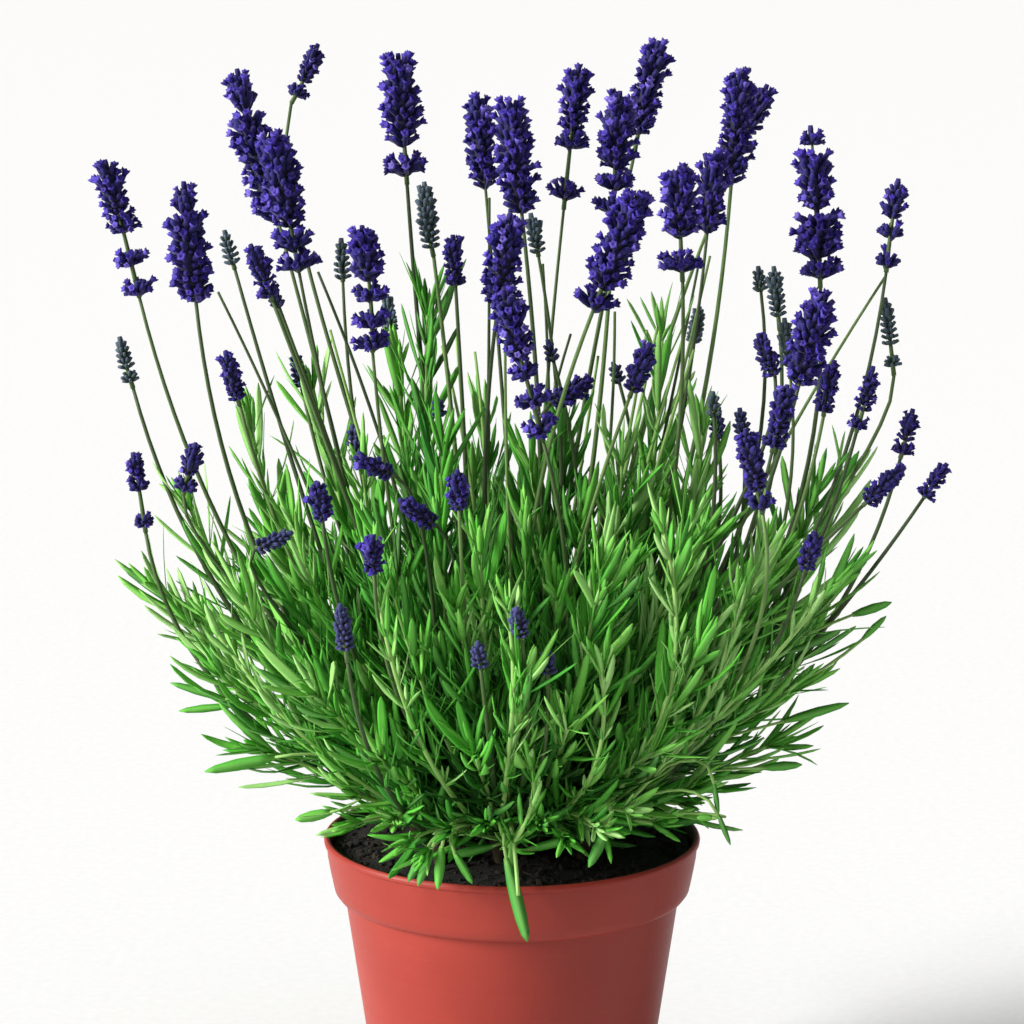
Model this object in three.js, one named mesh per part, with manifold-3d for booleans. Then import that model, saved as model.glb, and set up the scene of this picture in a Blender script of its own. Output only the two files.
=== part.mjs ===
// A lavender plant in flower, in a thin plastic nursery pot.
// Millimetres, +Z up. The origin is the centre of the pot's flat base, on the surface it stands on.
import * as THREE from "three";
import { mergeVertices } from "three/addons/utils/BufferGeometryUtils.js";
import Module from "manifold-3d";

const wasm = await Module();
wasm.setup();

// Driving dimensions of the pot
const potHeight = 106;
const rimRadius = 60;
const baseRadius = 41;
const collarHeight = 15;
const collarFootRadius = 57.2;
const bodyTopRadius = 53.4;
const collarUnderside = 4.5;
const wall = 1.4;
const floorThickness = 2;
const footChamfer = 1.5;
const potSides = 34;
const drainHoles = 6;
const drainRadius = 4;
const drainCircle = 27;

// The compost fills the pot to just under the lip and is a little mounded
const seatGap = 0.3;
const compostEdge = 102.5;
const compostMound = 3;
const compostLump = 0.8;
const compostSides = 26;

// Rooted shoots: a root in a plain hole in the compost, a woody crown, and the stems that leave it
const shootCount = 15;
const rootCircle = 38;
const rootTop = 107;
const rootDepth = 28;
const rootRadius = 2.4;
const rootSides = 4;
const crownRadius = 4;
const crownHeight = 9;
const holeGap = 0.42;
const golden = 137.508;

// Leafy stems are square, and the thin stalks under the flowers have three sides
const stemFootRadius = 1.5;
const stemTopRadius = 0.9;
const stemSides = 4;
const stalkSides = 3;
const stalkSteps = 3;
const planSteps = 4;
const clearance = 0.45;

// Leaves: narrow blades with a keel below, in crossed pairs up a stem
const leafLength = 44;
const leafWidth = 4.4;
const leafKeel = 1.1;
const leafLift = 0.2;
const leafFoot = 2.6;
const leafOpen = 40;
const leafRise = 0.4;
const leafTries = 4;
const pairSpacing = 18;
const firstPair = 0.3;
const lastPair = 0.93;
const smallLeaves = 0.48;

// Heads: a spike of packed florets, with looser whorls below it
const floretStep = 4.6;
const floretLift = 1.3;
const valleyShare = 0.6;
const whorlHalfHeight = 2.8;
const rachisRadius = 1;

// Heads and leafy stems are set out as they stand when seen from the front: how far across from the
// pot's axis, how far up from the rim's centre, and how deep along that line of sight.
const sightDistance = 1200;
const sightAngle = THREE.MathUtils.degToRad(16);
const sightPitch = THREE.MathUtils.degToRad(11.1);

// tip and foot are [across, up]. depth is the foot's, positive to the back, and the tip's is lean more.
// dense is the length of the packed part, and whorls are how far from the tip those below it are.
const flowers = [
  { tip: [-130, 215], foot: [-119, 171], depth: -8, lean: -4, dense: 17, whorls: [21, 32, 41.5], wide: 11 },
  { tip: [-105, 208], foot: [-101, 170], depth: -30, lean: -6, dense: 36, whorls: [], wide: 14 },
  { tip: [-88, 244], foot: [-75, 196.5], depth: 22, lean: 8, dense: 48, whorls: [], wide: 14 },
  { tip: [-76.5, 224], foot: [-68, 179], depth: -2, lean: 2, dense: 28, whorls: [34.5, 41.5], wide: 14 },
  { tip: [-62, 252], foot: [-70.5, 233], depth: 68, lean: 6, dense: 12, whorls: [17.5], wide: 8 },
  { tip: [-83.5, 188], foot: [-76.5, 170], depth: -34, lean: -4, dense: 12, whorls: [16], wide: 8 },
  { tip: [-36.5, 249], foot: [-33.5, 207], depth: 40, lean: 6, dense: 27, whorls: [36.5], wide: 15 },
  { tip: [-19, 191], foot: [-18, 174.5], depth: 14, lean: 0, dense: 11, whorls: [14.5], wide: 8 },
  { tip: [-48, 194], foot: [-44.5, 153.5], depth: -30, lean: -4, dense: 15, whorls: [21, 29.5, 36.7], wide: 12 },
  { tip: [-11, 235.5], foot: [-8.5, 206.5], depth: 72, lean: 6, dense: 29, whorls: [], wide: 12 },
  { tip: [-1, 235], foot: [3, 199], depth: 26, lean: 4, dense: 36, whorls: [], wide: 14 },
  { tip: [-0.5, 198], foot: [-4.5, 168.5], depth: -12, lean: -2, dense: 28, whorls: [], wide: 12 },
  { tip: [-3, 173.5], foot: [10, 125], depth: -46, lean: -10, dense: 21, whorls: [26.5, 36, 45.7], wide: 11 },
  { tip: [21.5, 245.5], foot: [16.5, 199], depth: 84, lean: 8, dense: 20, whorls: [25.6, 43], wide: 12 },
  { tip: [34.5, 237], foot: [32.5, 197], depth: 34, lean: 4, dense: 23, whorls: [29, 37], wide: 14 },
  { tip: [47, 253], foot: [39, 216.5], depth: 74, lean: 8, dense: 30, whorls: [], wide: 12 },
  { tip: [41, 205], foot: [26, 167], depth: -10, lean: -2, dense: 31, whorls: [37], wide: 15 },
  { tip: [73, 244], foot: [70, 207], depth: 48, lean: 4, dense: 35, whorls: [], wide: 12 },
  { tip: [81.5, 239], foot: [67.5, 205], depth: 76, lean: 10, dense: 16, whorls: [22, 29], wide: 10.5 },
  { tip: [65, 218], foot: [62.5, 193], depth: 26, lean: 2, dense: 25, whorls: [], wide: 12 },
  { tip: [53.5, 213], foot: [54.5, 176], depth: 6, lean: 0, dense: 20, whorls: [30.7], wide: 14 },
  { tip: [96, 221], foot: [98.5, 174], depth: 24, lean: 6, dense: 18, whorls: [24, 30.5, 37, 43.5], wide: 16 },
  { tip: [99, 172], foot: [92, 144.5], depth: -24, lean: -6, dense: 28, whorls: [], wide: 14 },
  { tip: [123.5, 209], foot: [119.5, 179], depth: 20, lean: 4, dense: 11, whorls: [16.7, 26.5], wide: 10 },
  { tip: [115.5, 149], foot: [110, 128], depth: -6, lean: -2, dense: 13, whorls: [19], wide: 6 },
  { tip: [128, 135.5], foot: [124, 119.5], depth: 14, lean: 2, dense: 9, whorls: [13.5], wide: 7.5 },
  { tip: [139, 118], foot: [131.5, 107], depth: -4, lean: 0, dense: 7.5, whorls: [11.5], wide: 6.5 },
  { tip: [125.5, 117], foot: [112, 104.5], depth: -22, lean: -2, dense: 15, whorls: [], wide: 7.5 },
  { tip: [103, 151], foot: [99.5, 133], depth: 10, lean: 0, dense: 12, whorls: [15.5], wide: 7.5 },
  { tip: [88, 143], foot: [83, 121.5], depth: -40, lean: -6, dense: 15, whorls: [19], wide: 9 },
  { tip: [74.5, 129], foot: [80, 102], depth: -62, lean: -8, dense: 19, whorls: [25], wide: 9 },
  { tip: [97, 96], foot: [93.5, 83.5], depth: -52, lean: -6, dense: 12, whorls: [], wide: 8 },
  { tip: [78.5, 159.5], foot: [84, 146], depth: -8, lean: 0, dense: 13, whorls: [], wide: 7.5 },
  { tip: [44, 156.5], foot: [37.5, 139], depth: -36, lean: -4, dense: 15, whorls: [], wide: 8.5 },
  { tip: [26, 145], foot: [12.5, 137.5], depth: 6, lean: 0, dense: 14, whorls: [], wide: 8.5 },
  { tip: [-50.5, 120], foot: [-37, 114], depth: -54, lean: -6, dense: 12, whorls: [], wide: 7 },
  { tip: [-17.5, 116], foot: [-17, 104], depth: -74, lean: -4, dense: 12, whorls: [], wide: 7.5 },
  { tip: [-36, 106.5], foot: [-24, 98], depth: -52, lean: -6, dense: 13, whorls: [], wide: 7 },
  { tip: [-44.5, 95], foot: [-44, 82.5], depth: -80, lean: -6, dense: 12, whorls: [], wide: 8 },
  { tip: [-62, 112], foot: [-60.5, 99.5], depth: -60, lean: -6, dense: 12, whorls: [], wide: 8.5 },
  { tip: [-91.5, 154], foot: [-87, 136.5], depth: -26, lean: -4, dense: 15, whorls: [], wide: 7 },
  { tip: [-101, 124.5], foot: [-105, 108], depth: -42, lean: -4, dense: 9, whorls: [14.5], wide: 8.5 },
  { tip: [-121, 121.5], foot: [-117, 96], depth: -16, lean: -2, dense: 7, whorls: [10.5, 22.5], wide: 7.5 },
];

// Young spikes still in green bud, which are one body with the stems that carry them
const buds = [
  { tip: [119, 171], foot: [122, 146], depth: 34, lean: 4, dense: 14, whorls: [21], wide: 5.5 },
  { tip: [87, 164.5], foot: [89, 145], depth: 16, lean: 2, dense: 14, whorls: [], wide: 7 },
  { tip: [83.5, 181], foot: [85.5, 160.5], depth: 44, lean: 2, dense: 15, whorls: [], wide: 7 },
  { tip: [78.5, 181], foot: [79.5, 173], depth: 62, lean: 2, dense: 7, whorls: [], wide: 4 },
  { tip: [-125.5, 158.5], foot: [-121, 142], depth: 12, lean: 2, dense: 9, whorls: [13.5], wide: 5 },
  { tip: [-92, 192.5], foot: [-88.5, 180], depth: 32, lean: 2, dense: 10, whorls: [], wide: 5 },
  { tip: [-54.5, 190], foot: [-54, 176], depth: 30, lean: 2, dense: 12, whorls: [], wide: 5 },
  { tip: [-28, 208], foot: [-25, 184], depth: 24, lean: 2, dense: 20, whorls: [], wide: 8.5 },
  { tip: [6, 198], foot: [8.5, 184], depth: 48, lean: 2, dense: 12, whorls: [], wide: 7 },
  { tip: [-55, 73], foot: [-52.5, 54.5], depth: -84, lean: -6, dense: 14, whorls: [], wide: 6 },
  { tip: [1.5, 72], foot: [3, 62], depth: -84, lean: -4, dense: 9, whorls: [], wide: 6.5 },
  { tip: [-11, 61], foot: [-10, 52.5], depth: -78, lean: -4, dense: 8, whorls: [], wide: 6 },
  { tip: [-70, 96], foot: [-82, 91], depth: -36, lean: -2, dense: 11, whorls: [], wide: 6 },
  { tip: [64, 141], foot: [64.5, 134], depth: -20, lean: 0, dense: 6.5, whorls: [], wide: 5.5 },
  { tip: [60, 168], foot: [57, 152], depth: 88, lean: 10, dense: 12, whorls: [], wide: 7 },
  { tip: [-40, 172], foot: [-38, 156], depth: 92, lean: 10, dense: 12, whorls: [], wide: 7 },
];

// Leafy stems with no flower, by where the top of each is seen. Those that hang over the rim
// arch up in the middle, by over, and have smaller leaves.
const sprays = [
  { tip: [-111, 76], depth: -2 },
  { tip: [-103, 104], depth: 12 },
  { tip: [-93, 50], depth: -24 },
  { tip: [-79, 27], depth: -12 },
  { tip: [-86, 74], depth: -48 },
  { tip: [-83, 128], depth: 24 },
  { tip: [-70, 98], depth: -22 },
  { tip: [-62, 44], depth: -62 },
  { tip: [-50, 12], depth: -38 },
  { tip: [-64, 142], depth: 48 },
  { tip: [-48, 116], depth: 4 },
  { tip: [-38, 76], depth: -64 },
  { tip: [-27, 166], depth: 30 },
  { tip: [-22, 121], depth: -16 },
  { tip: [-10, 90], depth: -58 },
  { tip: [6, 116], depth: 2 },
  { tip: [16, 128], depth: 44 },
  { tip: [28, 84], depth: -62 },
  { tip: [35, 118], depth: -6 },
  { tip: [4, 48], depth: -80 },
  { tip: [-36, 148], depth: 66 },
  { tip: [-8, 130], depth: 84 },
  { tip: [48, 158], depth: 38 },
  { tip: [56, 96], depth: -44 },
  { tip: [61, 128], depth: 14 },
  { tip: [80, 88], depth: -34 },
  { tip: [97, 108], depth: 18 },
  { tip: [104, 80], depth: -10 },
  { tip: [89, 46], depth: -22 },
  { tip: [82, 28], depth: 22 },
  { tip: [60, 60], depth: -66 },
  { tip: [106, 112], depth: 40 },
  { tip: [-27, -6], depth: -64, over: 10, size: 0.62 },
  { tip: [2, -20], depth: -70, over: 30, size: 0.5 },
  { tip: [27, 2], depth: -66, over: 8, size: 0.7 },
  { tip: [-42, 24], depth: -64 },
  { tip: [-12, 26], depth: -74 },
  { tip: [18, 34], depth: -72 },
  { tip: [46, 26], depth: -60 },
  { tip: [57, 14], depth: -34 },
  { tip: [-58, 88], depth: 88 },
  { tip: [4, 92], depth: 108 },
  { tip: [60, 92], depth: 88 },
  { tip: [-92, 66], depth: 52 },
  { tip: [92, 62], depth: 54 },
  { tip: [-30, 40], depth: 104 },
  { tip: [36, 44], depth: 102 },
];

const toRadians = THREE.MathUtils.degToRad;
const vector = (x, y, z) => new THREE.Vector3(x, y, z);
const up = vector(0, 0, 1);
const level = [vector(1, 0, 0), vector(0, 1, 0)];
const twoDigits = (number) => String(number).padStart(2, "0");

// An even spread of values from 0 to 1, the same for the same number on every run
function draw(seed) {
  const wave = Math.sin(seed * 12.9898 + 4.1414) * 43758.5453;
  return wave - Math.floor(wave);
}

// The place that is seen at (across, up) and lies at a depth along that line of sight
function placed([across, height], depth) {
  const rim = vector(0, 0, potHeight);
  const eye = vector(0, -Math.cos(sightAngle), Math.sin(sightAngle)).multiplyScalar(sightDistance).add(rim);
  const seen = vector(across, height * Math.sin(sightPitch), height * Math.cos(sightPitch)).add(rim);
  const ray = seen.sub(eye);
  return eye.addScaledVector(ray, (depth - eye.y) / ray.y);
}

// Closed shapes are made of rings of points that run counter-clockwise round the way of travel.
// Each of these gives a list of corners, three to a triangle.

function band(from, to) {
  return from.flatMap((p, i) => {
    const j = (i + 1) % from.length;
    return [p, from[j], to[j], p, to[j], to[i]];
  });
}

function fan(ring, apex) {
  return ring.flatMap((p, i) => [p, ring[(i + 1) % ring.length], apex]);
}

function startCap(ring) {
  return ring.slice(2).flatMap((p, i) => [ring[0], p, ring[i + 1]]);
}

function endCap(ring) {
  return ring.slice(2).flatMap((p, i) => [ring[0], ring[i + 1], p]);
}

// A closed shape through rings, where the last may be a single point
function loft(rings) {
  const last = rings[rings.length - 1];
  const full = last.length === 1 ? rings.slice(0, -1) : rings;
  const sides = full.slice(1).flatMap((ring, i) => band(full[i], ring));
  const end = last.length === 1 ? fan(full[full.length - 1], last[0]) : endCap(last);
  return [...startCap(rings[0]), ...sides, ...end];
}

// A solid from a closed geometry, with its vertices merged and its empty triangles dropped
function solidOf(geometry) {
  const bare = new THREE.BufferGeometry();
  bare.setAttribute("position", geometry.getAttribute("position"));
  bare.setIndex(geometry.getIndex());
  const merged = mergeVertices(bare, 1e-4);
  const index = merged.getIndex().array;
  const corners = [];
  for (let i = 0; i < index.length; i += 3) {
    const [a, b, c] = [index[i], index[i + 1], index[i + 2]];
    if (a !== b && b !== c && c !== a) corners.push(a, b, c);
  }
  return new wasm.Manifold(
    new wasm.Mesh({
      numProp: 3,
      vertProperties: merged.getAttribute("position").array,
      triVerts: new Uint32Array(corners),
    }),
  );
}

const solidFrom = (corners) => solidOf(new THREE.BufferGeometry().setFromPoints(corners));

// A named mesh from a solid
function meshOf(name, solid, material) {
  const made = solid.getMesh();
  const positions = new Float32Array(made.numVert * 3);
  for (let i = 0; i < made.numVert; i++) {
    positions.set(made.vertProperties.subarray(i * made.numProp, i * made.numProp + 3), i * 3);
  }
  const geometry = new THREE.BufferGeometry();
  geometry.setAttribute("position", new THREE.BufferAttribute(positions, 3));
  geometry.setIndex(new THREE.BufferAttribute(made.triVerts, 1));
  geometry.computeVertexNormals();
  const mesh = new THREE.Mesh(geometry, material);
  mesh.name = name;
  return mesh;
}

// Two directions square to a tangent, turned about it by an angle
function sidesOf(tangent, turn = 0) {
  const first = vector(1, 0, 0).addScaledVector(tangent, -tangent.x).normalize();
  first.applyAxisAngle(tangent, turn);
  return [first, tangent.clone().cross(first)];
}

// A ring of points round a centre, one for each radius
function ringAt(centre, [first, second], radii) {
  return radii.map((radius, i) => {
    const angle = (i / radii.length) * 2 * Math.PI;
    return centre
      .clone()
      .addScaledVector(first, radius * Math.cos(angle))
      .addScaledVector(second, radius * Math.sin(angle));
  });
}

// The nearest distance between two segments
function segmentGap(a, b, c, d) {
  const clamp = (x) => Math.min(1, Math.max(0, x));
  const u = b.clone().sub(a);
  const v = d.clone().sub(c);
  const w = a.clone().sub(c);
  const uu = u.dot(u);
  const uv = u.dot(v);
  const vv = v.dot(v);
  const uw = u.dot(w);
  const vw = v.dot(w);
  const scale = uu * vv - uv * uv;
  let s = scale > 1e-9 ? clamp((uv * vw - vv * uw) / scale) : 0;
  const t = clamp((uv * s + vw) / vv);
  s = clamp((uv * t - uw) / uu);
  return w.addScaledVector(u, s).addScaledVector(v, -t).length();
}

// What stands where: each item is a line of points with a radius, and belongs to one stem
const plan = [];

function isClear(item) {
  return plan.every(
    (other) =>
      other.stem === item.stem ||
      other.line.slice(1).every((q, j) =>
        item.line.slice(1).every((p, i) => {
          const gap = segmentGap(item.line[i], p, other.line[j], q);
          return gap > item.radius + other.radius + clearance;
        }),
      ),
  );
}

// The pot: a collar over a plain body, with a thin floor that has drain holes
function potSolid() {
  const neck = potHeight - collarHeight - collarUnderside;
  const profile = [
    [0, 0],
    [baseRadius - footChamfer, 0],
    [baseRadius, footChamfer],
    [bodyTopRadius, neck],
    [bodyTopRadius + 0.6 * (collarFootRadius - bodyTopRadius), neck + 0.2 * collarUnderside],
    [collarFootRadius, potHeight - collarHeight],
    [rimRadius - 0.7, potHeight - 2],
    [rimRadius, potHeight - 1],
    [rimRadius - 0.8, potHeight],
    [rimRadius - wall - 0.4, potHeight],
    [collarFootRadius - wall, potHeight - collarHeight],
    [bodyTopRadius - wall, neck],
    [baseRadius - wall, floorThickness],
    [0, floorThickness],
  ];
  const points = profile.map(([r, z]) => new THREE.Vector2(r, z));
  let pot = solidOf(new THREE.LatheGeometry(points, potSides).rotateX(Math.PI / 2));
  for (let i = 0; i < drainHoles; i++) {
    const angle = ((i + 0.5) / drainHoles) * 2 * Math.PI;
    const drill = new THREE.CylinderGeometry(drainRadius, drainRadius, 2 * floorThickness, 8);
    drill.rotateX(Math.PI / 2);
    drill.translate(drainCircle * Math.cos(angle), drainCircle * Math.sin(angle), floorThickness / 2);
    pot = pot.subtract(solidOf(drill));
  }
  return pot;
}

// The compost, with a plain hole for the root of each shoot
function compostSolid(roots) {
  const ring = (radius, z) => ringAt(vector(0, 0, z), level, Array(compostSides).fill(radius));
  const inside = (radius) => radius - wall - seatGap;
  const edge = inside(collarFootRadius) + 0.8;
  const surface = [0.85, 0.62, 0.38, 0.16].map((share) =>
    ring(share * edge, compostEdge + compostMound * (1 - share * share)).map((p, i) =>
      p.addScaledVector(up, compostLump * (2 * draw(i * 7 + share * 91) - 1)),
    ),
  );
  let compost = solidFrom(
    loft([
      ring(inside(baseRadius) - 0.2, floorThickness + seatGap),
      ring(inside(bodyTopRadius) - 0.1, potHeight - collarHeight - collarUnderside),
      ring(inside(collarFootRadius) - 0.1, potHeight - collarHeight),
      ring(edge, compostEdge),
      ...surface,
      [vector(0, 0, compostEdge + compostMound)],
    ]),
  );
  for (const root of roots) {
    const rings = [-rootDepth - holeGap, rootDepth].map((z) =>
      ringAt(root.clone().addScaledVector(up, z), level, Array(rootSides).fill(rootRadius + holeGap)),
    );
    compost = compost.subtract(solidFrom(loft(rings)));
  }
  return compost;
}

// Where the shoots are rooted: an even spiral over the compost
function shootRoots() {
  return Array.from({ length: shootCount }, (_, i) => {
    const radius = rootCircle * Math.sqrt((i + 0.5) / shootCount);
    const angle = toRadians(golden * i + 20);
    return vector(radius * Math.cos(angle), radius * Math.sin(angle), rootTop);
  });
}

function crownSolid(root) {
  const above = (z) => root.clone().addScaledVector(up, z);
  const ring = (z, radius) => ringAt(above(z), level, Array(rootSides).fill(radius));
  return solidFrom(
    loft([
      ring(-rootDepth, rootRadius),
      ring(0, rootRadius),
      ring(0.3 * crownHeight, crownRadius),
      ring(0.8 * crownHeight, 0.8 * crownRadius),
      [above(crownHeight)],
    ]),
  );
}

// The nearest shoot to a point part of the way out to a stem's top
function shootOf(roots, top) {
  const gaps = roots.map((root) => Math.hypot(root.x - 0.3 * top.x, root.y - 0.3 * top.y));
  return gaps.indexOf(Math.min(...gaps));
}

// A flower stalk: it leaves the crown, and arrives in line with the head where it can
function stalkOf(head, roots) {
  const foot = placed(head.foot, head.depth);
  const tip = placed(head.tip, head.depth + head.lean);
  const shoot = shootOf(roots, foot);
  const start = roots[shoot].clone().addScaledVector(up, crownHeight * (0.3 + 0.4 * draw(head.foot[0])));
  const axis = tip.clone().sub(foot).normalize();
  const reach = start.distanceTo(foot);
  const chord = foot.clone().sub(start).normalize();
  const inLine = axis.dot(chord) > 0.8;
  const leaving = inLine ? chord.clone().multiplyScalar(2).sub(axis).normalize() : chord;
  const curve = new THREE.CubicBezierCurve3(
    start,
    start.clone().addScaledVector(leaving, 0.36 * reach),
    foot.clone().addScaledVector(axis, -reach * (inLine ? 0.36 : 0.12)),
    foot,
  );
  return { head, foot, tip, shoot, axis, curve };
}

// A leafy stem: it leaves the crown, leans out to its place and turns up a little
function sprayOf(spray, roots) {
  const tip = placed(spray.tip, spray.depth);
  const shoot = shootOf(roots, tip);
  const start = roots[shoot].clone().addScaledVector(up, crownHeight * (0.4 + 0.4 * draw(spray.tip[0])));
  const middle = start.clone().lerp(tip, 0.55);
  const out = vector(middle.x, middle.y, 0).normalize();
  const steep = Math.min(1, Math.max(0, (tip.z - start.z - 40) / 40));
  const bow = 0.09 * start.distanceTo(tip) * steep;
  middle.addScaledVector(out, bow).addScaledVector(up, (spray.over ?? 0) - 0.6 * bow);
  return { shoot, size: spray.size ?? 1, curve: new THREE.QuadraticBezierCurve3(start, middle, tip) };
}

// The middle line of a leaf, which leaves its stem at an angle and then turns up towards the light
function leafLine(from, tangent, outward, length, open) {
  const leaving = tangent.clone().multiplyScalar(Math.cos(open)).addScaledVector(outward, Math.sin(open));
  const rising = leaving.clone().addScaledVector(up, leafRise).normalize();
  const middle = from.clone().addScaledVector(leaving, length * 0.5);
  const end = middle.clone().addScaledVector(rising, length * 0.5);
  return new THREE.QuadraticBezierCurve3(from, middle, end);
}

// A leaf drawn out of a square face of its stem, whose corners are a and b below, c and d above
function leafCorners([a, b, c, d], { line, across, width, isSmall }) {
  const section = (t, share) => {
    const centre = line.getPoint(t);
    const normal = line.getTangent(t).cross(across).normalize();
    const keel = centre.clone().addScaledVector(normal, -leafKeel * Math.sqrt(share));
    centre.addScaledVector(normal, leafLift);
    const edge = (side) => centre.clone().addScaledVector(across, 0.5 * side * share * width);
    return [edge(-1), keel, edge(1)];
  };
  const sections = isSmall ? [section(0.45, 1)] : [section(0.36, 1), section(0.74, 0.78)];
  const [left, keel, right] = sections[0];
  const root = [
    ...[a, keel, left],
    ...[a, b, keel],
    ...[b, right, keel],
    ...[b, c, right],
    ...[c, left, right],
    ...[c, d, left],
    ...[d, a, left],
  ];
  const blade = sections.slice(1).flatMap((next, i) => band(sections[i], next));
  return [...root, ...blade, ...fan(sections[sections.length - 1], line.getPoint(1))];
}

// Whether a line stays above the compost and the rim, or well outside the pot
function isOffThePot(line) {
  return line.every((p) => p.z > potHeight + 2.5 || Math.hypot(p.x, p.y) > rimRadius + 3);
}

// A leaf for one face of a stem, or nothing where there is no room for it
function leafOn([a, b, c, d], tangent, { stem, size, mark, share }) {
  const from = a.clone().add(b).add(c).add(d).multiplyScalar(0.25);
  const across = b.clone().sub(a).normalize();
  const outward = across.clone().cross(tangent).normalize();
  for (let n = 0; n < leafTries; n++) {
    const vary = (part) => 2 * draw(mark + n * 0.37 + part) - 1;
    const length = size * leafLength * (1 - 0.25 * share) * (1 + 0.15 * vary(0.1)) * (1 - 0.12 * n);
    const open = toRadians(leafOpen * (1 - 0.5 * share) * (1 + 0.25 * vary(0.2)));
    const line = leafLine(from, tangent, outward, length, open);
    const item = { stem, line: line.getPoints(3), radius: leafWidth * 0.4 };
    if (isOffThePot(item.line.slice(1)) && isClear(item)) {
      plan.push(item);
      const width = Math.sqrt(size) * leafWidth * (1 + 0.12 * vary(0.3));
      return { line, across, width, isSmall: share > smallLeaves };
    }
  }
  return null;
}

// A stem with pairs of leaves at given shares of its length, each pair a quarter turn on from the last
function leafyStem(curve, { stem, size, mark, pairs }) {
  const half = leafFoot / curve.getLength() / 2;
  const turn = 2 * Math.PI * draw(mark);
  const rings = [0, ...pairs.flatMap((u) => [u - half, u + half])].map((u) => {
    const radius = stemFootRadius + (stemTopRadius - stemFootRadius) * u;
    return ringAt(curve.getPointAt(u), sidesOf(curve.getTangentAt(u), turn), Array(stemSides).fill(radius));
  });
  const corners = startCap(rings[0]);
  rings.slice(1).forEach((ring, i) => {
    const pair = (i - 1) / 2;
    for (let side = 0; side < stemSides; side++) {
      const next = (side + 1) % stemSides;
      const face = [rings[i][side], rings[i][next], ring[next], ring[side]];
      const share = pairs[pair];
      const place = { stem, size, mark: mark * 31 + pair * 4 + side, share };
      const isLeafFace = Number.isInteger(pair) && side % 2 === pair % 2;
      const leaf = isLeafFace && leafOn(face, curve.getTangentAt(share), place);
      corners.push(...(leaf ? leafCorners(face, leaf) : endCap(face)));
    }
  });
  corners.push(...fan(rings[rings.length - 1], curve.getPointAt(1)));
  return solidFrom(corners);
}

// A bare stalk, cut short under its head by a gap
function stalkSolid(curve, gap) {
  const rings = [];
  for (let k = 0; k <= stalkSteps; k++) {
    const t = k / stalkSteps;
    const tangent = curve.getTangent(t);
    const centre = curve.getPoint(t).addScaledVector(tangent, k === stalkSteps ? -gap : 0);
    const radius = stemFootRadius + (stemTopRadius - stemFootRadius) * t;
    rings.push(ringAt(centre, sidesOf(tangent), Array(stalkSides).fill(radius)));
  }
  return solidFrom(loft(rings));
}

// One spike: rings of florets that stand out in turn, packed at the tip and in looser whorls below
function headSolid({ head, foot, tip, axis }) {
  const columns = head.wide >= 11 ? 8 : 6;
  const sides = sidesOf(axis);
  const length = foot.distanceTo(tip);
  const at = (fromTip) => tip.clone().addScaledVector(axis, -fromTip);
  const neck = (fromTip) => ringAt(at(fromTip), sides, Array(columns).fill(rachisRadius));
  const florets = (fromTip, reach, turn) => {
    const stands = (i) => (i + turn) % 2 === 0;
    const radii = Array.from({ length: columns }, (_, i) => reach * (stands(i) ? 1 : valleyShare));
    const ring = ringAt(at(fromTip), sides, radii);
    return ring.map((p, i) => p.addScaledVector(axis, stands(i) ? floretLift : 0));
  };
  const reach = head.wide / 2;
  const rings = [neck(length)];
  for (const whorl of [...head.whorls].reverse()) {
    if (whorl + whorlHalfHeight < length - 0.2) rings.push(neck(whorl + whorlHalfHeight));
    rings.push(florets(whorl + 1, reach * 0.86, 0), florets(whorl - 1, reach, 1));
    rings.push(neck(whorl - whorlHalfHeight));
  }
  const count = Math.max(2, Math.round(head.dense / floretStep));
  for (let k = 0; k < count; k++) {
    const fromTip = head.dense * (1 - (k + 0.45) / count);
    const swell = Math.min(1, 0.5 + fromTip / 11) * Math.min(1, 0.75 + k * 0.15);
    rings.push(florets(fromTip, reach * swell, k));
  }
  rings.push([at(-0.6)]);
  return solidFrom(loft(rings));
}

// Assembly

const finish = (color, roughness) => new THREE.MeshStandardMaterial({ color, roughness, metalness: 0 });
const materials = {
  pot: finish(0xbf5a4c, 0.45),
  compost: finish(0x1d1814, 1),
  green: finish(0x4f8f35, 0.6),
  violet: finish(0x35208a, 0.8),
};

const roots = shootRoots();
const stalks = [...flowers, ...buds].map((head) => stalkOf(head, roots));
const leafyStems = sprays.map((spray) => sprayOf(spray, roots));

roots.forEach((root, n) => {
  const line = [root.clone(), root.clone().addScaledVector(up, crownHeight)];
  plan.push({ stem: "crown " + n, line, radius: crownRadius });
});
stalks.forEach(({ curve, foot, tip, head }, n) => {
  plan.push({ stem: "stalk " + n, line: curve.getPoints(stalkSteps), radius: stemFootRadius });
  plan.push({ stem: "stalk " + n, line: [foot, tip], radius: head.wide / 2 });
});
leafyStems.forEach(({ curve }, n) => {
  plan.push({ stem: "spray " + n, line: curve.getPoints(planSteps), radius: stemFootRadius });
});

const lavender = new THREE.Group();
lavender.add(meshOf("pot", potSolid(), materials.pot));
lavender.add(meshOf("compost", compostSolid(roots), materials.compost));

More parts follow.
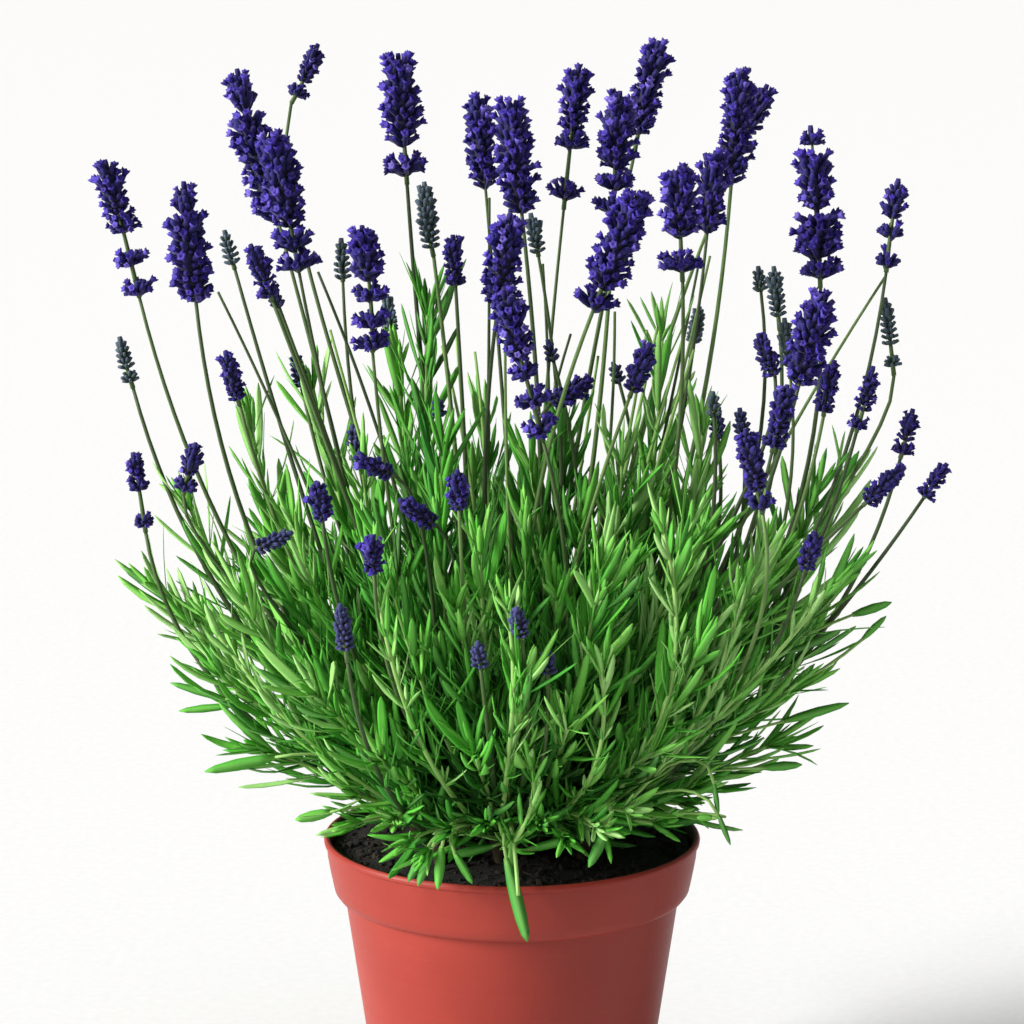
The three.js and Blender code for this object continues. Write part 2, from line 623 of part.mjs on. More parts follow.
const greens = roots.map((root) => [crownSolid(root)]);
leafyStems.forEach(({ shoot, size, curve }, n) => {
  const count = Math.max(2, Math.round(((1 - firstPair) * curve.getLength()) / pairSpacing));
  const step = (lastPair - firstPair) / (count - 1);
  const pairs = Array.from({ length: count }, (_, k) => firstPair + step * k);
  greens[shoot].push(leafyStem(curve, { stem: "spray " + n, size, mark: n + 1, pairs }));
});
stalks.forEach((stalk, n) => {
  const isFlower = n < flowers.length;
  greens[stalk.shoot].push(stalkSolid(stalk.curve, isFlower ? seatGap : 0));
  const head = headSolid(stalk);
  if (isFlower) {
    lavender.add(meshOf("flower_" + twoDigits(n + 1), head, materials.violet));
  } else {
    greens[stalk.shoot].push(head);
  }
});
greens.forEach((pieces, n) => {
  lavender.add(meshOf("shoot_" + twoDigits(n + 1), wasm.Manifold.union(pieces), materials.green));
});

export default lavender;
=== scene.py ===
import itertools
import math

import bpy
import numpy as np
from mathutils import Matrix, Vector


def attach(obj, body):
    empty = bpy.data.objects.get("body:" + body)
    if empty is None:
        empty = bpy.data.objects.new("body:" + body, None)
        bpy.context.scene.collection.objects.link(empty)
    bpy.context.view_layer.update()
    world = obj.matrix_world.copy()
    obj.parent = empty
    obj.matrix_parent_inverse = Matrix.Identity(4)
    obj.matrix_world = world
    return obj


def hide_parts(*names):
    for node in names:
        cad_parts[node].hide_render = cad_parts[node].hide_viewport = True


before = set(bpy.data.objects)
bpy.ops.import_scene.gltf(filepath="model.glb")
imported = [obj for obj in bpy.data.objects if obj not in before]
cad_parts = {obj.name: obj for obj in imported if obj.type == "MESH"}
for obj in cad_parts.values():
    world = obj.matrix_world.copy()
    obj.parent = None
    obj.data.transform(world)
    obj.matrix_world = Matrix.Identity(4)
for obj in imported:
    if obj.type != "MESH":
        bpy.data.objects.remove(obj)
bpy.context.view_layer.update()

MM = 0.001
GOLDEN = 137.508

# The pot
POT_HEIGHT = 106.0
RIM_RADIUS = 60.0
BASE_RADIUS = 41.0
BASE_ROUND = 2.0
COLLAR_HEIGHT = 15.0
COLLAR_FOOT_RADIUS = 57.2
BODY_TOP_RADIUS = 53.4
COLLAR_UNDERSIDE = 4.5
WALL = 1.4
FLOOR_THICKNESS = 2.0
DRAIN_HOLES = 6
DRAIN_RADIUS = 4.0
DRAIN_CIRCLE = 27.0
POT_SIDES = 144
SHARP_EDGE = 38.0

# Round the lip, from outside to inside: how far in from the rim and how far down from the top
LIP_OUTSIDE = ((0.9, 3.2), (0.8, 2.4), (0.1, 1.9), (0, 1.1), (0.25, 0.4), (0.8, 0))
LIP_INSIDE = ((WALL + 0.2, 0.1), (WALL + 0.6, 0.6))

# The compost
COMPOST_EDGE = 102.5
COMPOST_MOUND = 3.0
COMPOST_ROUGHNESS = 1.1
COMPOST_SIDES = 160
COMPOST_RINGS = 46
CRUMB_FORMS = 6
CRUMBS_OF_A_FORM = 240
FIBRES = 150
FIBRE_POINTS = 6

# The rooted shoots and their stems
SHOOT_COUNT = 15
ROOT_CIRCLE = 38.0
ROOT_TURN = 20.0
ROOT_TOP = 107.0
CROWN_HEIGHT = 9.0
CROWN_SIDES = 12
STEM_FOOT_RADIUS = 1.1
STEM_TOP_RADIUS = 0.58
LEAFY_TOP_RADIUS = 0.6
STEM_SQUARENESS = 0.35
LINE_POINTS = 41
EXTRA_SPRAYS = 66
BARE_PATCH = 0.14
HANGING = 25.0
PALE_STALK_RADIUS = 1.25
CUT_STALK_RADIUS = 0.9
CUT_TOP_RADIUS = 0.5

# The dome that the extra leafy stems fill
DOME_INSIDE = 10.0
DOME_SPREAD = 78.0
DOME_TURN = 65.0
DOME_RADIUS = 118.0
DOME_FOOT = 20.0
DOME_RISE = 92.0

# The leaves
LEAF_LENGTH = 35.0
LEAF_WIDTH = 2.7
LEAF_THICKNESS = 0.5
LEAF_OPEN = 44.0
LEAF_RISE = 0.45
LEAF_ARCH = 0.26
LEAF_TWIST = 0.5
LEAF_SWAY = 0.36
LEAF_TRIES = 3
SHORT_LEAF = 24.0
BASAL_LEAVES = 14
TUFT_LEAVES = 8
TUFT_TURN = 137.5
PAIR_SPACING = 13.0
STALK_PAIR_SPACING = 26.0
BARE_STEM_PAIR_SPACING = 15.0
FIRST_PAIR = 0.3
LAST_PAIR = 0.93

# The heads
FLORET_REACH = 6.3
FLORET_WIDTH = 0.8
FLORET_DROP = 1.1
LARGEST_FLORET = 1.35
ROW_SPACING = 2.2
BUD_SPACING = 2.4
TIER_HEIGHT = 5.2
CORE_SHARE = 0.22
NECK_LENGTH = 1.7
NECK_BELOW = 1.3
NECK_HALF = 1.15
FULL_HEAD = 11.0
INSIDE_THE_BUSH = 100.0

# A whorl's rings of florets: how far over its place, share of its reach, lean and fullness
WHORL_RINGS = ((0.6, 0.96, 76, 0.9), (1.8, 1.0, 58, 1.0), (2.8, 0.7, 36, 0.6))

# What the random draws of each kind of thing start from
SEEDS = dict(
    crumbs=0, extras=3, bumps=5, compost=11, sprays=100, stalks=300, buds=500, small_heads=600,
    flowers=700, bare_stems=800, basal=900, crowns=999,
)

# The line of sight that heads and leafy stems are set out from: across the pot's axis, up from the
# rim's centre, and deep along the line
SIGHT_DISTANCE = 1200.0
SIGHT_ANGLE = math.radians(16.0)
SIGHT_PITCH = math.radians(11.1)
LENS = 131.6
SENSOR = 36.0

# The light
KEY_STRENGTH = 6.4
TOP_STRENGTH = 0.5
WORLD_STRENGTH = 0.15

# Flower spikes. Each is where the tip and the foot are seen, (across, up); how deep the foot lies,
# positive to the back; how much deeper the tip does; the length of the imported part; its width; and
# how far from the tip the looser whorls are, a pair being the place and the share of full size.
# Some have a neck: its place, the share of the width above it, and how much of the tip is bare.
FLOWERS = [
    ((-130, 215), (-119, 171), -8, -4, 17, 11, (21, 32, 41.5)),
    ((-105, 208), (-101, 170), -30, -6, 36, 14.5, (), 7.5, 0.66),
    ((-88, 244), (-75, 196.5), 22, 8, 48, 14.5, (), 11.5, 0.7),
    ((-76.5, 224), (-68, 179), -2, 2, 28, 14, (34.5, 41.5)),
    ((-62, 252), (-70.5, 233), 68, 6, 12, 8, (17.5,)),
    ((-83.5, 188), (-76.5, 170), -34, -4, 12, 8, (16,)),
    ((-36.5, 249), (-33.5, 207), 40, 6, 27, 15, (36.5,)),
    ((-19, 191), (-18, 174.5), 14, 0, 11, 8, (14.5,)),
    ((-48, 194), (-44.5, 153.5), -30, -4, 15, 12, (21, 29.5, 36.7)),
    ((-11, 235.5), (-8.5, 206.5), 72, 6, 29, 12),
    ((-1, 235), (3, 199), 26, 4, 36, 14),
    ((-0.5, 198), (-4.5, 168.5), -12, -2, 28, 12),
    ((-3, 173.5), (10, 125), -46, -10, 21, 11, (26.5, 36, 45.7)),
    ((21.5, 245.5), (16.5, 199), 84, 8, 20, 12, (25.6, 43)),
    ((34.5, 237), (32.5, 197), 34, 4, 23, 14, (29, 37)),
    ((47, 253), (39, 216.5), 74, 8, 30, 12),
    ((41, 205), (26, 167), -10, -2, 31, 15, (37,)),
    ((73, 244), (70, 207), 48, 4, 35, 12),
    ((81.5, 239), (67.5, 205), 76, 10, 16, 10.5, (22, 29)),
    ((65, 218), (62.5, 193), 26, 2, 25, 12),
    ((53.5, 213), (54.5, 176), 6, 0, 20, 14, (30.7,)),
    ((95.4, 226), (98.5, 174), 24, 6, 32, 18.5, ((3.6, 0.45), (46, 0.8)), 23.5, 0.78, 7.5),
    ((99, 172), (92, 144.5), -24, -6, 28, 14),
    ((123.5, 209), (119.5, 179), 20, 4, 11, 10, (16.7, 26.5)),
    ((115.5, 149), (110, 128), -6, -2, 13, 6, (19,)),
    ((128, 135.5), (124, 119.5), 14, 2, 9, 7.5, (13.5,)),
    ((139, 118), (131.5, 107), -4, 0, 7.5, 6.5, (11.5,)),
    ((125.5, 117), (112, 104.5), -22, -2, 15, 7.5),
    ((103, 151), (99.5, 133), 10, 0, 12, 7.5, (15.5,)),
    ((88, 143), (83, 121.5), -40, -6, 15, 9, (19,)),
    ((74.5, 129), (80, 102), -62, -8, 19, 9, (25,)),
    ((97, 96), (93.5, 83.5), -52, -6, 12, 8),
    ((78.5, 159.5), (84, 146), -8, 0, 13, 7.5),
    ((44, 156.5), (37.5, 139), -36, -4, 15, 8.5),
    ((26, 145), (12.5, 137.5), 6, 0, 14, 8.5),
    ((-50.5, 120), (-37, 114), -54, -6, 12, 7),
    ((-17.5, 116), (-17, 104), -74, -4, 12, 7.5),
    ((-36, 106.5), (-24, 98), -52, -6, 13, 7),
    ((-44.5, 95), (-44, 82.5), -80, -6, 12, 8),
    ((-62, 112), (-60.5, 99.5), -60, -6, 12, 8.5),
    ((-91.5, 154), (-87, 136.5), -26, -4, 15, 7),
    ((-101, 124.5), (-105, 108), -42, -4, 9, 8.5, (14.5,)),
    ((-121, 121.5), (-117, 96), -16, -2, 7, 7.5, (10.5, 22.5)),
]

# Young spikes in green bud, in the same form
BUDS = [
    ((119, 171), (122, 146), 34, 4, 14, 5.5, (21,)),
    ((87, 164.5), (89, 145), 16, 2, 14, 7),
    ((83.5, 181), (85.5, 160.5), 44, 2, 15, 7),
    ((78.5, 181), (79.5, 173), 62, 2, 7, 4),
    ((-125.5, 158.5), (-121, 142), 12, 2, 9, 5, (13.5,)),
    ((-92, 192.5), (-88.5, 180), 32, 2, 10, 5),
    ((-54.5, 190), (-54, 176), 30, 2, 12, 5),
    ((-28, 208), (-25, 184), 24, 2, 20, 8.5),
    ((6, 198), (8.5, 184), 48, 2, 12, 7),
    ((-55, 73), (-52.5, 54.5), -84, -6, 14, 6),
    ((1.5, 72), (3, 62), -84, -4, 9, 6.5),
    ((-11, 61), (-10, 52.5), -78, -4, 8, 6),
    ((-70, 96), (-82, 91), -36, -2, 11, 6),
    ((64, 141), (64.5, 134), -20, 0, 6.5, 5.5),
    ((60, 168), (57, 152), 88, 10, 12, 7),
    ((-40, 172), (-38, 156), 92, 10, 12, 7),
]

# Small heads in dark bud, finer than the part has room for
SMALL_HEADS = [
    ((11.2, 58.8), (11.5, 51.4), -76, -2, 7, 6),
    ((64.5, 137.4), (65.8, 126.8), 30, 2, 12, 7),
    ((72.8, 135.8), (73.8, 125.6), 40, 2, 11, 6.5),
    ((-51.1, 130.4), (-49.2, 119.8), 20, 2, 12, 6.5),
    ((-69.6, 153.7), (-67.4, 143.5), 46, 2, 11, 6),
    ((11.2, 157.5), (13.1, 151.1), 40, 0, 6, 5),
    ((32.3, 150.5), (34.2, 144.1), 56, 0, 6, 5.5),
    ((-76.7, 174.1), (-74.8, 169), -20, 0, 5, 5.5),
    ((-24.3, 139.6), (-23.3, 133.9), 6, 0, 5.5, 5),
]

# Stalks whose heads were cut or are hidden: where the top is seen, a place under it, and the depth
CUT_STALKS = [
    ((-7.3, 208.6), (-7.3, 202.9), 30), ((-2.2, 162.3), (-2.2, 157.5), -20),
    ((9.6, 186.3), (9.9, 181.8), 50), ((32.9, 171.6), (32.9, 166.5), 10),
    ((64.5, 189.5), (63.3, 184.3), 70), ((60.7, 187.5), (59.7, 182.4), 40),
    ((-63.9, 183.7), (-62, 179.2), -10), ((-96.5, 178), (-93.9, 172.8), 6),
    ((122.4, 182.4), (119.5, 178), 30), ((20.4, 164.5), (18.8, 159.4), 64),
]

# Stout pale stalks with no head, in the same form
PALE_STALKS = [
    ((44.7, 170.9), (43.1, 160.7), 40), ((48.6, 172.2), (46.3, 161.3), 20),
    ((53.4, 170.3), (50.5, 160.1), 56), ((57.5, 167.7), (54.6, 158.1), 34),
    ((60.7, 162), (58.1, 154.3), 10), ((-24.6, 163.9), (-22.4, 155.6), 28),
    ((-18.8, 170.9), (-17.9, 160.7), 44), ((-12.8, 162), (-11.8, 153.7), 8),
    ((-60.7, 170.3), (-58.1, 160.7), 20), ((28.8, 160.7), (27.5, 152.4), 60),
]

# Leafy stems with no flower: across and up to the top, its depth, and for those that hang low how
# far the middle arches up and how large the leaves are
SPRAYS = [
    (-111, 76, -2), (-103, 104, 12), (-93, 50, -24), (-79, 27, -12), (-86, 74, -48), (-83, 128, 24),
    (-70, 98, -22), (-62, 44, -62), (-50, 12, -38), (-64, 142, 48), (-48, 116, 4), (-38, 76, -64),
    (-27, 166, 30), (-22, 121, -16), (-10, 90, -58), (6, 116, 2), (16, 128, 44), (28, 84, -62),
    (35, 118, -6), (4, 48, -80), (-36, 148, 66), (-8, 130, 84), (48, 158, 38), (56, 96, -44),
    (61, 128, 14), (80, 88, -34), (97, 108, 18), (104, 80, -10), (89, 46, -22), (82, 28, 22),
    (60, 60, -66), (106, 112, 40), (-27, -6, -64, 10, 0.62), (2, -20, -70, 30, 0.5),
    (27, 2, -66, 8, 0.7), (-42, 24, -64), (-12, 26, -74), (18, 34, -72), (46, 26, -60),
    (57, 14, -34), (-58, 88, 88), (4, 92, 108), (60, 92, 88), (-92, 66, 52), (92, 62, 54),
    (-30, 40, 104), (36, 44, 102),
]

# Short leafy stems low at the front, finer than the part has room for
LOW_SPRAYS = [
    (-38, 4, -56, 6, 0.62), (-33, -3, -60, 8, 0.55), (-20, 1, -62, 6, 0.6), (-8, 3, -62, 5, 0.6),
    (9, 3, -60, 5, 0.6), (17, -2, -62, 6, 0.55), (37, 7, -56, 5, 0.6), (-50, 3, -40, 5, 0.6),
    (46, 3, -42, 5, 0.6), (55, 9, -20, 5, 0.6), (29, 1, -60, 5, 0.55),
]

# Single leaves: where the foot and the tip are seen, the depth of each, the width and the tint
FREE_LEAVES = [
    ((-1.9, -8), (4.8, -34.8), -62, -70, 4, 0.3),
    ((-75.1, 24.3), (-98.1, 19.2), -30, -34, 3.8, 0.55),
    ((-57.5, 6.7), (-69.3, 4.2), -44, -46, 3.5, 0.7),
    ((-97.4, 66.5), (-124.6, 84.7), 0, 0, 3.5, 0.2),
    ((-91.1, 42.5), (-109.3, 47.3), -10, -10, 2.6, 0.5),
    ((-89.5, 40.6), (-106.4, 38.7), -8, -8, 2.6, 0.6),
    ((108.6, 69.6), (121.1, 74.1), -6, -8, 3, 0.5), ((111.8, 61.7), (119.8, 69), -4, -4, 2.2, 0.6),
    ((86.3, 35.5), (107.7, 41.2), -20, -24, 3, 0.5), ((79.9, 20.8), (92.7, 21.4), -30, -32, 3, 0.5),
    ((64.5, 16.3), (65.8, 5.4), -60, -62, 1.7, 0.25), ((65.8, 6.1), (70, -3.8), -62, -60, 1.7, 0.2),
    ((64.5, 4.8), (59.1, 4.8), -62, -63, 2.2, 0.7),
    ((30.7, 1.6), (24.9, -11.2), -62, -66, 3.5, 0.35),
    ((-25.6, -4.8), (-30.4, -16.9), -63, -65, 3, 0.4),
    ((-22.4, -4.2), (-23.6, -18.2), -63, -66, 3.2, 0.6),
    ((-27.5, -5.4), (-33.2, -15.7), -62, -64, 2.8, 0.3),
    ((-5.8, -4.2), (-20.4, -8), -48, -55, 3, 0.4), ((5.1, -5.4), (19.8, -1.6), -48, -50, 2.9, 0.5),
    ((-18.5, -6.1), (-12.8, -16.3), -63, -66, 2.6, 0.5),
]

# Thin pale stems seen against the leaves: the places they pass, a depth, a radius and a tint
BARE_STEMS = [
    (((-12.8, -12.5), (11.2, -0.6), (6.4, 20.8)), -66, 0.9, 1),
    (((28.8, 10.5), (30.7, 29.7), (28.8, 51.4)), -74, 0.9, 0.95),
    (((55.6, 13.7), (57.5, 61.7), (48.2, 96.2)), -66, 0.9, 0.95),
    (((-3.2, 13.7), (3.8, 45.7), (-1.6, 71.2)), -82, 0.85, 0.9),
    (((-25.6, 10.5), (-39.9, 45.7), (-44.1, 87.2)), -74, 0.9, 0.95),
    (((41.5, 10.5), (70.3, 42.5), (71.9, 74.4)), -60, 0.9, 0.95),
    (((-50, 10), (-78, 38), (-98, 70)), -50, 0.9, 0.95),
    (((50, 20), (82, 52), (100, 76)), -48, 0.85, 0.95),
]

UP = np.array([0.0, 0.0, 1.0])
SIDEWAYS = np.array([1.0, 0.0, 0.0])
RIM_CENTRE = np.array([0.0, 0.0, POT_HEIGHT])
EYE = RIM_CENTRE + SIGHT_DISTANCE * np.array([0.0, -math.cos(SIGHT_ANGLE), math.sin(SIGHT_ANGLE)])


# Layout


def draw(seed):
    wave = math.sin(seed * 12.9898 + 4.1414) * 43758.5453
    return wave - math.floor(wave)


def unit(v):
    return v / np.maximum(np.linalg.norm(v, axis=-1, keepdims=True), 1e-12)


def placed(seen, depth):
    """The place that is seen at (across, up) and lies at a depth along that line of sight."""
    across, height = seen
    there = RIM_CENTRE + np.array([across, height * math.sin(SIGHT_PITCH), height * math.cos(SIGHT_PITCH)])
    ray = there - EYE
    return EYE + ray * (depth - EYE[1]) / ray[1]


def draws(kind, n=0):
    return np.random.default_rng(SEEDS[kind] + n)


def polar(radius, angle, height=0.0):
    return np.array([radius * math.cos(angle), radius * math.sin(angle), height])


def between(first, second, angle):
    """The direction that is turned by an angle from a first one towards a second."""
    return first * np.cos(angle) + second * np.sin(angle)


def shoot_roots():
    places = []
    for i in range(SHOOT_COUNT):
        radius = ROOT_CIRCLE * math.sqrt((i + 0.5) / SHOOT_COUNT)
        places.append(polar(radius, math.radians(GOLDEN * i + ROOT_TURN), ROOT_TOP))
    return places


ROOTS = shoot_roots()


def shoot_of(top):
    gaps = [math.hypot(root[0] - 0.3 * top[0], root[1] - 0.3 * top[1]) for root in ROOTS]
    return gaps.index(min(gaps))


def curve(points, count=LINE_POINTS, fine=60):
    """A Bezier curve through its first and last points, in steps of one length."""
    t = np.linspace(0, 1, fine)[:, None]
    level = [np.asarray(p, float)[None, :] for p in points]
    while len(level) > 1:
        level = [a * (1 - t) + b * t for a, b in zip(level, level[1:])]
    line = level[0]
    run = np.concatenate([[0], np.cumsum(np.linalg.norm(np.diff(line, axis=0), axis=1))])
    even = np.linspace(0, run[-1], count)
    return np.stack([np.interp(even, run, line[:, k]) for k in range(3)], axis=1)


HEAD_KEYS = ("tip", "foot", "depth", "lean", "dense", "wide", "whorls", "neck", "slim", "bare")
LEFT_OUT = dict(lean=0, dense=0, wide=0, whorls=(), neck=None, slim=1.0, bare=0.0)


def stalk_of(row):
    """A flower stalk and its head, from a row of one of the lists."""
    head = LEFT_OUT | dict(zip(HEAD_KEYS, row))
    foot = placed(head["foot"], head["depth"])
    tip = placed(head["tip"], head["depth"] + head["lean"])
    shoot = shoot_of(foot)
    start = ROOTS[shoot] + UP * CROWN_HEIGHT * (0.3 + 0.4 * draw(head["foot"][0]))
    axis = unit(tip - foot)
    reach = np.linalg.norm(foot - start)
    chord = unit(foot - start)
    in_line = axis @ chord > 0.8
    leaving = unit(2 * chord - axis) if in_line else chord
    arriving = reach * (0.36 if in_line else 0.12)
    line = curve([start, start + 0.36 * reach * leaving, foot - arriving * axis, foot])
    return dict(head=head, foot=foot, tip=tip, shoot=shoot, axis=axis, line=line)


def spray_of(across, up, depth, over=0, size=1.0):
    """A leafy stem, from a row of one of the lists."""
    tip = placed((across, up), depth)
    shoot = shoot_of(tip)
    start = ROOTS[shoot] + UP * CROWN_HEIGHT * (0.4 + 0.4 * draw(across))
    middle = start + 0.55 * (tip - start)
    out = unit(np.array([middle[0], middle[1], 0.0]))
    steep = min(1.0, max(0.0, (tip[2] - start[2] - 40) / 40))
    bow = 0.09 * np.linalg.norm(tip - start) * steep
    middle = middle + bow * out + UP * (over - 0.6 * bow)
    return dict(shoot=shoot, line=curve([start, middle, tip]), size=size, hangs=over >= HANGING)


def along(line, share):
    """The point and the direction at a share of an evenly stepped line."""
    place = min(max(share, 0.0), 1.0) * (len(line) - 1)
    low = min(int(place), len(line) - 2)
    point = line[low] + (line[low + 1] - line[low]) * (place - low)
    return point, unit(line[low + 1] - line[low])


def sides_of(tangent, turn=0.0):
    """Two directions square to a tangent, turned about it by an angle."""
    first = unit(SIDEWAYS - tangent * tangent[..., :1])
    second = np.cross(tangent, first)
    return between(first, second, turn), between(second, -first, turn)


# Meshes. A piece collects triangles, each with a material's number, and a four-part value at each
# vertex that its materials read: tint, run (how far along), line (near a midrib) and under.

PLAIN = (0.5, 0.5, 0.0, 0.0)


def shown(name, data):
    """A new object in the scene, at the origin."""
    thing = bpy.data.objects.new(name, data)
    bpy.context.scene.collection.objects.link(thing)
    return thing


class Piece:
    def __init__(self):
        self.points = []
        self.faces = []
        self.kinds = []
        self.looks = []
        self.count = 0
        self.leaves = []

    def add(self, points, faces, kind, looks):
        points = np.asarray(points, float).reshape(-1, 3)
        faces = np.asarray(faces, np.int64).reshape(-1, 3)
        self.points.append(points)
        self.faces.append(faces + self.count)
        self.kinds.append(np.full(len(faces), kind, np.int32))
        self.looks.append(np.broadcast_to(looks, (len(points), 4)))
        self.count += len(points)

    def add_many(self, points, faces, kind, looks):
        """Adds a form many times: points has a row for each, and faces are those of one."""
        size = points[0].size // 3
        self.add(points, faces + (np.arange(len(points)) * size)[:, None, None], kind, looks)

    def tube(self, line, radii, sides, kind, looks, squareness=0.0, turn=0.0):
        """Adds a tube along a line."""
        self.add(swept(line, radii, sides, squareness, turn), tube_faces(len(line), sides), kind, looks)

    def build(self, name, materials, slot, nodes=(), sharp=()):
        points = np.concatenate(self.points).astype(np.float32) * MM
        faces = np.concatenate(self.faces).astype(np.int32)
        kinds = np.concatenate(self.kinds)
        mesh = bpy.data.meshes.new(name)
        mesh.vertices.add(len(points))
        mesh.vertices.foreach_set("co", points.ravel())
        mesh.loops.add(faces.size)
        mesh.loops.foreach_set("vertex_index", faces.ravel())
        mesh.polygons.add(len(faces))
        mesh.polygons.foreach_set("loop_start", np.arange(0, faces.size, 3, dtype=np.int32))
        mesh.polygons.foreach_set("material_index", kinds)
        mesh.polygons.foreach_set("use_smooth", ~np.isin(kinds, list(sharp)))
        look = mesh.attributes.new("look", "FLOAT_COLOR", "POINT")
        look.data.foreach_set("color", np.concatenate(self.looks).astype(np.float32).ravel())
        for material in materials:
            mesh.materials.append(material)
        mesh.update(calc_edges=True)
        mesh.validate()
        piece = shown(name, mesh)
        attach(piece, "root")
        if nodes:
            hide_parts(*nodes)
        return piece


def looks_of(shape, tint, run=0.5, line=0.0, under=0.0):
    """The four-part values of points that stand in an array of some shape."""
    looks = np.empty((*shape, 4))
    for k, value in enumerate((tint, run, line, under)):
        looks[..., k] = value
    return looks.reshape(-1, 4)


def angles(sides):
    return np.arange(sides) / sides * 2 * math.pi


def ring(radius, height, sides):
    """A ring of points about the upright axis. Radius and height can differ round it."""
    angle = angles(sides)
    return np.stack([np.cos(angle) * radius, np.sin(angle) * radius, 0 * angle + height], axis=1)


def tube_faces(rings, sides, closed=True):
    """Triangles between rings of a given number of sides, with both ends capped by a fan."""
    i = np.arange(sides)
    j = (i + 1) % sides
    faces = []
    for row in range(rings - 1):
        low, high = row * sides, (row + 1) * sides
        faces.append(np.stack([low + i, low + j, high + j], axis=1))
        faces.append(np.stack([low + i, high + j, high + i], axis=1))
    if closed:
        last = (rings - 1) * sides
        k = np.arange(1, sides - 1)
        faces.append(np.stack([0 * k, k + 1, k], axis=1))
        faces.append(np.stack([last + 0 * k, last + k, last + k + 1], axis=1))
    return np.concatenate(faces)


def swept(line, radii, sides, squareness=0.0, turn=0.0):
    """Points of a tube along a line, round or nearly square."""
    first, second = sides_of(unit(np.gradient(line, axis=0)), turn)
    angle = angles(sides)[:, None]
    swell = 1 - 0.25 * squareness * (1 - np.cos(4 * angle))
    circle = between(first[:, None], second[:, None], angle)
    return (line[:, None] + circle * swell * np.asarray(radii)[:, None, None]).reshape(-1, 3)


# A leaf: narrow, blunt-tipped, with a sunk midrib above, a raised one below and edges rolled under.
# Each form is its places along the leaf, its shares of the width there, and its section: across,
# above, how near the midrib, and how far under.
FULL_LEAF = dict(
    stations=[0.0, 0.1, 0.28, 0.5, 0.72, 0.91, 1.0],
    shares=[0.4, 0.6, 0.9, 1.0, 0.95, 0.66, 0.12],
    across=[1.0, 0.5, 0.0, -0.5, -1.0, 0.0],
    above=[-0.2, 0.32, 0.0, 0.32, -0.2, -0.55],
    line=[0.0, 0.25, 1.0, 0.25, 0.0, 1.0],
    under=[0.3, 0.0, 0.0, 0.0, 0.3, 1.0],
)
SMALL_LEAF = dict(
    stations=[0.0, 0.25, 0.55, 0.85, 1.0],
    shares=[0.45, 0.88, 1.0, 0.68, 0.12],
    across=[1.0, 0.0, -1.0, 0.0],
    above=[0.1, 0.3, 0.1, -0.4],
    line=[0.1, 0.7, 0.1, 0.8],
    under=[0.2, 0.0, 0.2, 1.0],
)


LEAF_KEYS = ("base", "stem", "out", "length", "width", "open", "arch", "twist", "sway", "rise", "tint")


def add_leaves(piece, leaves, kind, form):
    """Adds every leaf of a list at once. Arrays run over the leaves, and then along each."""
    if not leaves:
        return
    columns = [np.array([one[key] for one in leaves], float).reshape(len(leaves), -1) for key in LEAF_KEYS]
    base, stem, out, length, width, opened, arch, twist, sway, rise, tint = columns
    stations, shares = np.array(form["stations"]), np.array(form["shares"])
    aside = np.cross(stem, out)
    rising = unit(between(stem, out, opened + arch) + UP * rise)
    middle = base + between(stem, out, opened) * (0.5 * length) + aside * (0.25 * sway * length)
    end = middle + rising * (0.5 * length) + aside * (0.1 * sway * length)
    base, middle, end, aside = (places[:, None] for places in (base, middle, end, aside))
    t = stations[None, :, None]
    centre = (1 - t) ** 2 * base + 2 * t * (1 - t) * middle + t**2 * end
    tangent = unit((1 - t) * (middle - base) + t * (end - middle))
    across = unit(aside - tangent * np.sum(aside * tangent, axis=2, keepdims=True))
    normal = np.cross(tangent, across)
    angle = (twist * stations)[..., None]
    across, normal = between(across, normal, angle), between(normal, -across, angle)
    half = 0.5 * width * shares
    thick = LEAF_THICKNESS * np.sqrt(shares) * (width / LEAF_WIDTH) ** 0.5
    points = (
        centre[:, :, None]
        + across[:, :, None] * (half[:, :, None] * np.array(form["across"]))[..., None]
        + normal[:, :, None] * (thick[:, :, None] * np.array(form["above"]))[..., None]
    )
    looks = looks_of(points.shape[:3], tint[:, None], stations[:, None], form["line"], form["under"])
    piece.add_many(points, tube_faces(*points.shape[1:3]), kind, looks)


def off_the_pot(base, stem, out, length, opened, rise):
    """Whether a leaf stays above the compost and the rim, or well outside the pot."""
    leaving = between(stem, out, opened)
    middle = base + leaving * 0.5 * length
    end = middle + unit(leaving + UP * rise) * 0.5 * length
    for t in (0.35, 0.6, 0.8, 1.0):
        p = (1 - t) ** 2 * base + 2 * t * (1 - t) * middle + t * t * end
        if p[2] < POT_HEIGHT + 1.8 and math.hypot(p[0], p[1]) < RIM_RADIUS + 2.5:
            return False
    return True


def leaf(base, stem, out, rng, length, width, opened, tint, rise):
    made = dict(base=base, stem=stem, out=out, length=length, width=width, open=opened, tint=tint, rise=rise)
    made.update(arch=rng.normal(0, LEAF_ARCH), twist=rng.normal(0, LEAF_TWIST), sway=rng.normal(0, LEAF_SWAY))
    return made


